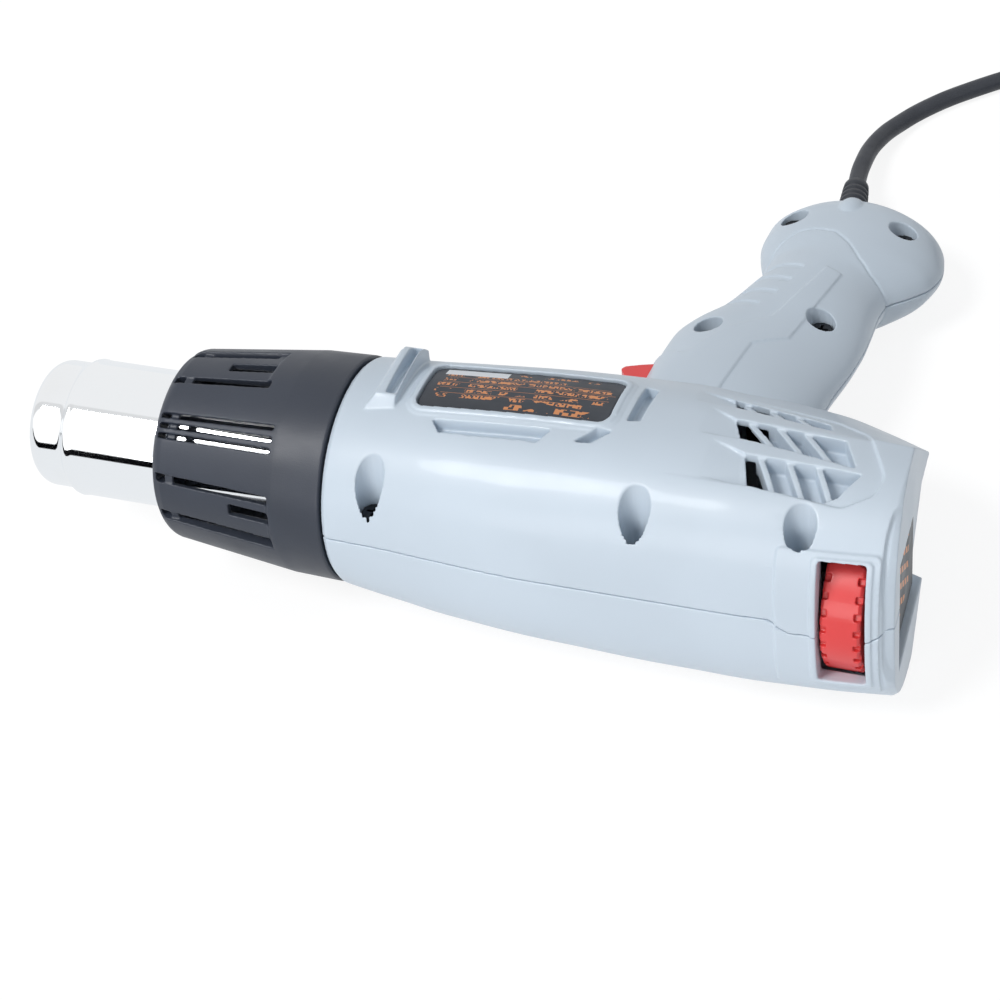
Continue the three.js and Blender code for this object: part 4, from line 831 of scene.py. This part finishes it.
def shell(side):
    """One shell as a solid: walls, ribs, wells, windows and recesses."""
    right = side > 0
    full_form = barrel_form()
    rear_end = added(rear_block(0, FAR, -FAR, 2 * FAR, -FAR, FAR), *bevel_tools())
    body = added(full_form, bar(-SPIGOT_LENGTH, 4, 0, 0, SPIGOT_RADIUS, 96), *dial_surround(), fin(side))
    if right:
        for spread, height in LABEL_RIM:
            body = added(body, raised(label_area(spread), barrel_form, height))
    grille = [mirrored(cutter, side) for cutter in grille_cut(full_form)]
    body = added(cut(body, *grille), handle_grip(side))
    sleeve = turned([(4, 0), (4, 5.8), (9.4, 5.8), (10.4, 4.8), (10.4, 0)], 48)
    body = added(body, moved(sleeve, RELIEF), mirrored(dome(), side))
    body = cut(body, rear_end, shell_hollow())
    body = added(body, crossed(mirrored(pocket_backing(), side), full_form))
    if right:
        body = added(body, groove_backing())
    body = cut(body, bar(-3.3, 9, 0, 0, 24.3), bar(-FAR, -2.3, 0, 0, 20.05))
    inside = cad_insides("right_shell" if right else "left_shell")
    body = crossed(added(crossed(body, half_space(side)), inside), over_bench())
    body = cut(body, *grille[-len(GRILLE):], *openings())
    return cut(body, *right_cuts()) if right else body


LABEL = (20.9, 73.4, -9.8, 10)
LABEL_CORNER = 3.2
LABEL_DEPTH = 1.3
# Steps of the label's raised rim: how far out of the recess, and how high
LABEL_RIM = [(2.4, 0.3), (1.4, 0.75)]


def label_area(spread):
    """The label's outline with rounded corners, grown all round, as a column."""
    x0, x1, y0, y1 = LABEL
    x0, x1, y0, y1 = x0 - spread, x1 + spread, y0 - spread, y1 + spread
    return prism([(x0, y0), (x1, y0), (x1, y1), (x0, y1)], 20, FAR, LABEL_CORNER + spread)


def over_bench():
    """Everything above the bench that the tool lies on, in the tool's own place."""
    laid = Matrix.Translation((0, 0, LIE_HEIGHT)) @ Matrix.Rotation(LEAN, 4, "X")
    return moved(block(-200, 300, -200, 300, 0.05, 200), laid.inverted())


def dome():
    """The swelling on the handle's end over the cord's outlet."""
    bm = bmesh.new()
    bmesh.ops.create_uvsphere(bm, u_segments=48, v_segments=32, radius=1)
    bmesh.ops.scale(bm, verts=bm.verts[:], vec=(5.7, 8.4, 8.6))
    bmesh.ops.translate(bm, verts=bm.verts[:], vec=(99.6, 134.6, 7.4))
    return made(bm)


def half_space(side):
    """The shell's own side of the seam, which steps over beside the dial."""
    half = SEAM / 2 if side > 0 else -SEAM / 2
    low = half - 2.95
    step = [(120.5, half), (126, low), (145.2, low), (150.5, half), (150.5, 1), (120.5, 1)]
    jog = moved(prism(step, -FAR, -25 if side > 0 else -24.7), ALONG_Y)
    if side > 0:
        return added(block(-FAR, 2 * FAR, -FAR, 2 * FAR, half, FAR), jog)
    return cut(block(-FAR, 2 * FAR, -FAR, 2 * FAR, -FAR, half), jog)


def shell_hollow():
    """The room inside both shells."""
    stations = [(8, *BARREL[1][1:])] + smooth_stations([s for s in BARREL if s[0] > 8], 3)
    hollow = cut(barrel_form(WALL, stations, 96), rear_block(-5.4, FAR, -FAR, 2 * FAR, -FAR, FAR))
    return added(hollow, handle_form(WALL, 139), bar(WINDOW[0], 144.2, DIAL_Y, DIAL_Z, DIAL_RADIUS + 1))


def softened(mesh, voxel, rounds, most=190000):
    """Rounds every edge a little, as a mould does."""
    fine = worked(mesh, ("REMESH", {"mode": "VOXEL", "voxel_size": voxel}),
                  ("SMOOTH", {"factor": 0.5, "iterations": rounds}))
    count = sum(len(face.vertices) - 2 for face in fine.polygons)
    if count > most:
        fine = worked(fine, ("DECIMATE", {"ratio": most / count}))
    return fine


def piece(name, mesh, finish, body="root", replaces=(), matrix=TOOL):
    """Puts a finished mesh into the scene as a named piece of the tool."""
    mesh.name = name
    mesh.transform(matrix)
    mesh.shade_smooth()
    mesh.materials.clear()
    mesh.materials.append(finish.material)
    new = bpy.data.objects.new(name, mesh)
    scene.collection.objects.link(new)
    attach(new, body)
    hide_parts(*replaces)
    return new


# ------------ cord

CORD = 5.4
RELIEF_LENGTH = 28.7
FREE_ROUTE = [
    (91.8, 178.4, 7.4), (92, 188.6, 5.8), (94.1, 198, 4.4), (97.3, 205.4, 3.3), (101.6, 212.4, 2.75),
    (108.1, 219.6, 2.75), (114.9, 225.6, 2.75), (123, 232, 2.75), (135.2, 240.6, 2.75), (147, 248.2, 3.3),
]
COIL_CENTRE = Vector((185, 222, 0))
COIL_OUTER = 43.8
COIL_PITCH = 5.9
COIL_TURNS = 3.95
COIL_CLIMB = 0.5
COIL_START = 115
COIL_LOW = CORD / 2 + 0.8 + 0.6
COIL_INNER = COIL_OUTER - COIL_TURNS * COIL_PITCH
COIL_WHOLE = 2 * COIL_TURNS + COIL_CLIMB
PLUG_LEAD = 44
PLUG_HEIGHT = 11.1


def on_relief(along):
    """A point of the strain relief's axis, over the bench."""
    lean = math.radians(RELIEF_LEAN)
    x, y = RELIEF_SEAT[0] - along * math.sin(lean), RELIEF_SEAT[1] + along * math.cos(lean)
    return Vector((x, y * math.cos(LEAN), LIE_HEIGHT + y * math.sin(LEAN)))


def smoothstep(value):
    value = min(max(value, 0), 1)
    return value * value * (3 - 2 * value)


def coil_point(turns):
    past = turns - COIL_TURNS
    radius, height = COIL_OUTER - turns * COIL_PITCH, COIL_LOW
    if past > COIL_CLIMB:
        radius = COIL_INNER + (past - COIL_CLIMB) * COIL_PITCH
        height += COIL_PITCH
    elif past > 0:
        radius = COIL_INNER - min(past, COIL_CLIMB - past) * COIL_PITCH
        height += COIL_PITCH * smoothstep(past / COIL_CLIMB)
    angle = math.radians(COIL_START - turns * 360)
    return COIL_CENTRE + Vector((radius * math.cos(angle), radius * math.sin(angle), height))


def coil_heading(turns):
    angle = math.radians(COIL_START - turns * 360)
    return Vector((math.sin(angle), -math.cos(angle), 0))


def flowing(points, steps):
    """A smooth run of points through the given ones."""
    ends = [2 * points[0] - points[1], *points, 2 * points[-1] - points[-2]]
    run = []
    for a, b, c, d in zip(ends, ends[1:], ends[2:], ends[3:]):
        for step in range(steps):
            t = step / steps
            run.append(0.5 * (2 * b + (c - a) * t + (2 * a - 5 * b + 4 * c - d) * t ** 2
                              + (3 * b - a - 3 * c + d) * t ** 3))
    return run + [points[-1]]


plug_heading = coil_heading(COIL_WHOLE)
coil_end = coil_point(COIL_WHOLE) + plug_heading * CORD
plug_seat = coil_end + plug_heading * PLUG_LEAD
plug_seat.z = PLUG_HEIGHT


def cord_route():
    start = coil_point(0)
    free = [on_relief(RELIEF_LENGTH - 3), on_relief(RELIEF_LENGTH + CORD)] + [Vector(p) for p in FREE_ROUTE]
    free += [start - coil_heading(0) * CORD, start]
    steps = round(COIL_WHOLE * 40)
    coil = [coil_point(COIL_WHOLE * k / steps) for k in range(1, steps + 1)]
    side = Vector((-plug_heading.y, plug_heading.x, 0))
    lead = []
    for k in range(1, 17):
        share = k / 16
        point = coil_end + plug_heading * (PLUG_LEAD * share) + side * 2 * math.sin(math.pi * share) ** 2
        point.z += (PLUG_HEIGHT - coil_end.z) * smoothstep((share - 0.1) / 0.8)
        lead.append(point)
    return flowing(free, 6) + coil + [coil_end] + lead


def wire(name, points, radius, resolution):
    """A round wire through points, as a curve."""
    data = bpy.data.curves.new(name, "CURVE")
    data.dimensions = "3D"
    data.bevel_depth = radius
    data.bevel_resolution = resolution
    data.use_fill_caps = True
    spline = data.splines.new("POLY")
    spline.points.add(len(points) - 1)
    for seat, point in zip(spline.points, points):
        seat.co = (*point, 1)
    spline.use_smooth = True
    return data


def cord_piece():
    data = wire("mains_cord", [BENCH @ point for point in cord_route()], CORD / 2000, 6)
    data.materials.append(cord_sheath.material)
    new = bpy.data.objects.new("mains_cord", data)
    scene.collection.objects.link(new)
    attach(new, "root")
    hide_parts("power_cord", "cord_coil", "plug_lead")
    return new


# Along the plug: place, half width and half height
PLUG = [
    (0, 3.9, 3.9), (9, 4.4, 4.4), (13, 6.8, 6.4), (20, 13, 9), (27, 16.6, 10.8), (36, 17.4, 11),
    (41, 17.4, 11), (43, 16.2, 9.8),
]
PLUG_TURN = math.atan2(plug_heading.y, plug_heading.x)
PLUG_PLACE = BENCH @ Matrix.Translation(plug_seat) @ Matrix.Rotation(PLUG_TURN, 4, "Z")
PLUG_CORNER = 2.4
PLUG_FLANK = 17.6
PIN_OFFSETS = (-9.5, 9.5)
PIN_RADIUS = 2.4


def plug_body():
    def place(station, cosine, sine):
        x, wide, high = station
        return Vector((x, squashed(cosine, PLUG_CORNER) * wide, squashed(sine, PLUG_CORNER) * high))

    body = skinned(smooth_stations(PLUG, 6), 64, place)
    holes = [bar(35, 50, y, 0, 2.7, 32) for y in PIN_OFFSETS]
    grips = []
    for x in (26, 29.5, 33, 36.5):
        for y in (-PLUG_FLANK, PLUG_FLANK):
            grips.append(block(x, x + 1.6, y - 1.4, y + 1.4, -7, 7, 0.3))
    sleeve_rings = [turned([(x, 3.7), (x + 1, 3.7), (x + 1, 9), (x, 9)], 48) for x in (2, 4.2, 6.4, 8.6)]
    return softened(cut(body, *holes, *grips, *sleeve_rings), 0.4, 3, 60000)


def plug_pin():
    turns = (0.0, 0.4, 0.8, 1.2, 1.5708)
    end = [(62 - PIN_RADIUS * (1 - math.cos(a)), PIN_RADIUS * math.sin(a)) for a in turns]
    return turned([(35.3, 0), *end, (35.3, PIN_RADIUS)], 48)


def cord_tie():
    """A flat loop round both layers of the coil."""
    low, high = COIL_LOW - CORD / 2 - 0.3, COIL_LOW + COIL_PITCH + CORD / 2 + 0.3
    inner, outer = COIL_INNER - CORD / 2 - 0.3, COIL_OUTER + CORD / 2 + 0.3
    strap = block(inner - 0.8, outer + 0.8, -3, 3, low - 0.8, high + 0.8, 0.25)
    return softened(cut(strap, block(inner, outer, -9, 9, low, high, 0.2)), 0.3, 2, 40000)


TIE_PLACE = BENCH @ Matrix.Translation(COIL_CENTRE) @ Matrix.Rotation(math.radians(240), 4, "Z")

cord = cord_piece()
plug = piece("mains_plug", plug_body(), cord_rubber, replaces=["plug_body"], matrix=PLUG_PLACE)
tie = piece("velcro_tie", cord_tie(), inner_black, replaces=["cord_tie"], matrix=TIE_PLACE)
for k, y in enumerate(PIN_OFFSETS, 1):
    pin = moved(plug_pin(), Matrix.Translation((0, y, 0)))
    node = f"plug_pin_{k}"
    piece(f"mains_pin_{k}", pin, pin_nickel, replaces=[node], matrix=PLUG_PLACE)

# ------------ shell pieces

for side, node in ((1, "right_shell"), (-1, "left_shell")):
    piece(node + "_moulding", softened(shell(side), 0.31, 2), shell_plastic, replaces=[node])

# ------------ nozzle and collar


def arc(x, radius, size, first, last, steps=8):
    """Points of a rounding about a centre, from one angle to another."""
    angles = [math.radians(first + (last - first) * k / steps) for k in range(steps + 1)]
    return [(x + size * math.cos(a), radius + size * math.sin(a)) for a in angles]


def nozzle():
    """The pipe: a rolled mouth, a bead behind it, and a flange inside the shells."""
    outside = arc(-89, 13.3, 4.2, 180, 90, 12) + [(-88.6, 17.5), (-83.8, 17.5)]
    outside += [(-83.2, 17.52), (-82.5, 17.68), (-81.9, 18.05), (-81.4, 18.5), (-80.9, 18.88)]
    outside += [(-80.3, 19.06), (-79.7, 19), (-79.2, 18.88), (-78.7, 18.85), (-78, 18.85)]
    outside += [(-4, 18.85), (-3.3, 18.85)]
    rear = [(-3.0, 18.85), (-3.0, 19.3), (-3.0, 23.6), (-3.0, 24), (-1.8, 24), (-1.8, 17.65), (-2.4, 17.65)]
    inside = [(-79.6, 17.65), (-80.2, 17.65), (-81.8, 16.3), (-82.4, 16.3), (-88.6, 16.3)]
    return turned(outside + rear + inside + arc(-89, 13.3, 3.0, 90, 180), 192)


# Each slot of the heat guard: its angle from the top, width, front end and rear end
SLOTS = [
    (-13, 2.6, -49.7, -15.4), (3.4, 3.4, -27.7, -15.2), (14.6, 2.8, -49.7, -15.4),
    (40.6, 1.5, -49.7, -15.5), (46.7, 1.5, -49.7, -15.5), (52.8, 1.5, -49.7, -15.5),
    (78, 2.8, -49.7, -20.9), (92, 3.4, -35.8, -22.4), (107, 2.6, -49.7, -24.5),
]
# Each lowered land: the angles at its sides, and where it starts behind the plain band
LANDS = [(-15.5, 17, -15), (75.5, 110, -21.5)]
# The hoop that bridges the slots' fronts: its front and rear
HOOP = (-46.9, -44.6)


def around(angle):
    return Matrix.Rotation(-math.radians(angle), 4, "X")


def land(first, last, rear):
    """What is cut away over a lowered land: a wedge-shaped run of a ring."""
    lift = 0.08 * (rear + 15)
    floor_line = [(-60, 22.2), (-51.5, 24.2), (-48.6, 25.3), (rear - 1.2, 28.9 + lift), (rear, 30.0 + lift)]
    ring = turned([*floor_line, (rear, 40), (-60, 40)], 192)
    turns = [math.radians(last - first) * (k / 8 - 0.5) for k in range(9)]
    fan = [(60 * math.cos(turn), 60 * math.sin(turn)) for turn in turns]
    stand = Matrix(((0, 0, 1, 0), (-1, 0, 0, 0), (0, -1, 0, 0), (0, 0, 0, 1)))
    return crossed(ring, moved(prism([(0, 0), *fan], -60, 0), around((first + last) / 2) @ stand))


def collar():
    """The heat guard: slots with a hoop across their fronts, and lowered lands."""
    opening = 20.05
    front = -51.7
    outer = [(-0.3, 27.3), (-0.3, 30.1)] + arc(-0.8, 30.1, 0.5, 0, 90, 4) + [(-14, 30.2)]
    outer += arc(front + 4.6, 21.6, 4.6, 90, 180, 8) + [(front, opening)]
    inner = [(front + 2.2, opening), (front + 4.6, 24), (-9.3, 27.3)]
    body = turned(outer + inner, 192)
    for half in (0, 180):
        for first, last, rear in LANDS:
            body = cut(body, land(first + half, last + half, rear))
        for angle, width, start, end in SLOTS:
            slot = block(start, end, -45, -19, -width / 2, width / 2)
            if start < -45:
                slot = cut(slot, block(*HOOP, -25.2, -10, -5, 5))
            body = cut(body, moved(slot, around(angle + half)))
    return softened(body, 0.3, 1)


def strain_relief():
    """The cord's rubber sleeve: a flange inside, a neck through the wall, and a ringed taper."""
    outline = [(0, 3.0), (0, 6.4), (0.2, 6.6), (2, 6.6), (2.2, 6.4), (2.2, 3.9)]
    outline += [(10.7, 3.9), (10.7, 4.35), (10.9, 4.5)]
    for k in range(5):
        start, reach = 13.4 + 2.7 * k, 4.5 - 0.13 * k
        low = reach - 0.5
        outline += [(start, reach), (start + 0.25, low), (start + 0.95, low), (start + 1.2, reach)]
    outline += [(27, 3.85), (28.2, 3.75), (28.7, 3.5), (28.7, 2.72), (10, 2.72)]
    return moved(turned(outline, 96), RELIEF)


def heating_coil():
    """The wound heater wire on its ceramic."""
    turns, steps = 8, 40
    first, last, reach = -73.2, -5.5, 14.3
    points = []
    for k in range(turns * steps + 1):
        turn = 2 * math.pi * k / steps
        along = first + (last - first) * k / (turns * steps)
        points.append((along, reach * math.cos(turn), reach * math.sin(turn)))
    return worked(wire("heating_coil", points, 0.85, 4))


piece("cord_sleeve", strain_relief(), cord_rubber, replaces=["strain_relief"])
piece("heater_winding", heating_coil(), coil_wire, replaces=["heating_coil"])
piece("nozzle_pipe", nozzle(), nozzle_chrome, replaces=["nozzle_tube"])
piece("heat_guard", collar(), collar_plastic, replaces=["front_collar"])

# ------------ dial, trigger, plates


DIAL_NOTCHES = 28


def dial():
    """The heat wheel: square notches along both edges of its rim."""
    bevel, x0, x1 = 0.7, 133.5, 143.7
    low = DIAL_RADIUS - bevel
    rim = [(x0 + bevel, DIAL_RADIUS), (x1 - bevel, DIAL_RADIUS)]
    wheel = turned([(x0, 3.3), (x0, low), *rim, (x1, low), (x1, 3.3)], 160)
    notches = []
    for k in range(DIAL_NOTCHES):
        turn = Matrix.Rotation(2 * math.pi * (k + 0.5) / DIAL_NOTCHES, 4, "X")
        for x in (x0 - 1, x1 - 1.7):
            notch = block(x, x + 2.7, -DIAL_RADIUS - 2, -DIAL_RADIUS + 1.3, -0.95, 0.95)
            notches.append(moved(notch, turn))
    return softened(cut(wheel, beside(*notches)), 0.22, 1, 110000)


def trigger():
    outline = [(60.5, 41), (57.1, 45), (57.3, 50.5), (55.5, 53.3), (56.3, 54.7), (60.5, 56.5)]
    outline += [(63.5, 57.5), (71.5, 57.5), (71.5, 41)]
    return softened(prism(outline, -5.6, 5.6), 0.32, 5, 60000)


def label():
    """The plate as a thin bent sheet, fine enough to follow the barrel."""
    sheet = cut(crossed(label_area(-0.35), barrel_form(0.2)), barrel_form(1.2))
    return softened(sheet, 0.3, 1, 60000)


wheel = moved(dial(), Matrix.Translation((0, DIAL_Y, DIAL_Z)))
piece("dial_wheel", wheel, red_plastic, body="heat_dial", replaces=["temperature_dial"])
piece("trigger_key", trigger(), red_plastic, body="trigger", replaces=["trigger"])
piece("label_plate", label(), label_plate, replaces=["rating_label"])

# ------------ CAD nodes that stay

CAD_FINISHES = [
    (mica, ["mica_sleeve", "heater_support"]),
    (white_ceramic, ["heater_core"]),
    (duct_plastic, ["air_duct", "fan_housing"]),
    (inner_black, ["thermal_cutout", "motor_bracket", "motor_end_cap", "fan_wheel", "power_transistor"]),
    (inner_black, ["switch_body", "cord_clamp"]),
    (plated_steel, ["motor_can", "motor_shaft", "potentiometer", "dial_spindle"]),
    (plated_steel, ["clamp_screw_1", "clamp_screw_2"]),
    (board_green, ["circuit_board"]),
    (bare_aluminium, ["heat_sink"]),
    (capacitor_yellow, ["noise_capacitor"]),
    (plunger_nylon, ["switch_plunger"]),
    (badge_plate, ["rear_badge"]),
    (cord_sheath, ["inner_lead", "lead_wire_1", "lead_wire_2"]),
    (black_oxide, [f"shell_screw_{k}" for k in range(1, 8)]),
]
for finish, nodes in CAD_FINISHES:
    for node in nodes:
        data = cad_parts[node].data
        data.materials.clear()
        data.materials.append(finish.material)

# ------------ stage and light


AMBIENT = (0.42, 0.43, 0.445)
# The sky that reflections see, from the front and below to the rear and above
SKY_GREYS = [(0.36, 1.12), (0.5, 0.72), (0.9, 0.74), (1.0, 0.9)]


def floor():
    """A white bench that keeps the tool's shadow."""
    bm = bmesh.new()
    bmesh.ops.create_grid(bm, x_segments=1, y_segments=1, size=6)
    data = made(bm)
    finish = Finish("bench_white", (0.84, 0.85, 0.86), 0.9)
    watched = finish.seen_by("Camera")
    mirrored_in = finish.seen_by("Glossy")
    grey = finish.blend(watched, (0.86, 0.865, 0.87), (0.2, 0.2, 0.2))
    finish.tint(mirrored_in, grey, (0, 0, 0))
    glow = finish.blend(watched, (0, 0, 0), (0.86, 0.86, 0.86))
    finish.set("Emission Color", finish.blend(mirrored_in, glow, (0.86, 0.875, 0.89)))
    finish.set("Emission Strength", 1.0)
    finish.set("Specular IOR Level", 0.0)
    data.materials.append(finish.material)
    new = bpy.data.objects.new("bench", data)
    scene.collection.objects.link(new)


def backdrop_light():
    """A white studio: even light for the tool, and for its reflections a sky of greys."""
    world = bpy.data.worlds.new("studio")
    scene.world = world
    world.use_nodes = True
    sky = Nodes(world.node_tree)
    _, y, z = sky.parts(sky.node("ShaderNodeTexCoord", {}, {}, "Generated"))
    greys = sky.node("ShaderNodeValToRGB", {}, (z + y * 2.5 + 0.5,))
    ramp = greys.node.color_ramp.elements
    while len(ramp) < len(SKY_GREYS):
        ramp.new(0.5)
    for element, (place, grey) in zip(ramp, SKY_GREYS):
        element.position = place
        element.color = (grey, grey, grey, 1)
    seen = sky.seen_by("Camera").most(sky.seen_by("Transmission"))
    light = sky.blend(sky.seen_by("Glossy"), AMBIENT, greys)
    light = sky.blend(seen, light, (1, 1, 1))
    sky.fill(sky.tree.nodes["Background"].inputs["Color"], light)


def sun(name, strength, angle, place):
    """A sun of that width in degrees that shines from a place towards the tool."""
    data = bpy.data.lights.new(name, "SUN")
    data.energy = strength
    data.angle = math.radians(angle)
    lamp = bpy.data.objects.new(name, data)
    lamp.rotation_euler = Vector(place).to_track_quat("Z", "Y").to_euler()
    scene.collection.objects.link(lamp)


def dark_card():
    """A low black card that only reflections see, for the dark line along the nozzle."""
    finish = Finish("black_card", (0.003, 0.003, 0.004), 0.9)
    finish.set("Specular IOR Level", 0.0)
    data = moved(block(-1.4, 0.6, -0.36, -0.358, 0.0005, 0.066), Matrix.Translation(SHIFT))
    data.materials.append(finish.material)
    card = bpy.data.objects.new("black_card", data)
    card.visible_camera = False
    card.visible_diffuse = False
    card.visible_shadow = False
    scene.collection.objects.link(card)


floor()
backdrop_light()
sun("key", 1.55, 20, (-0.45, -0.5, 0.9))
sun("fill", 1.0, 40, (-0.1, -1.0, 0.12))
dark_card()
scene.view_settings.view_transform = "Standard"
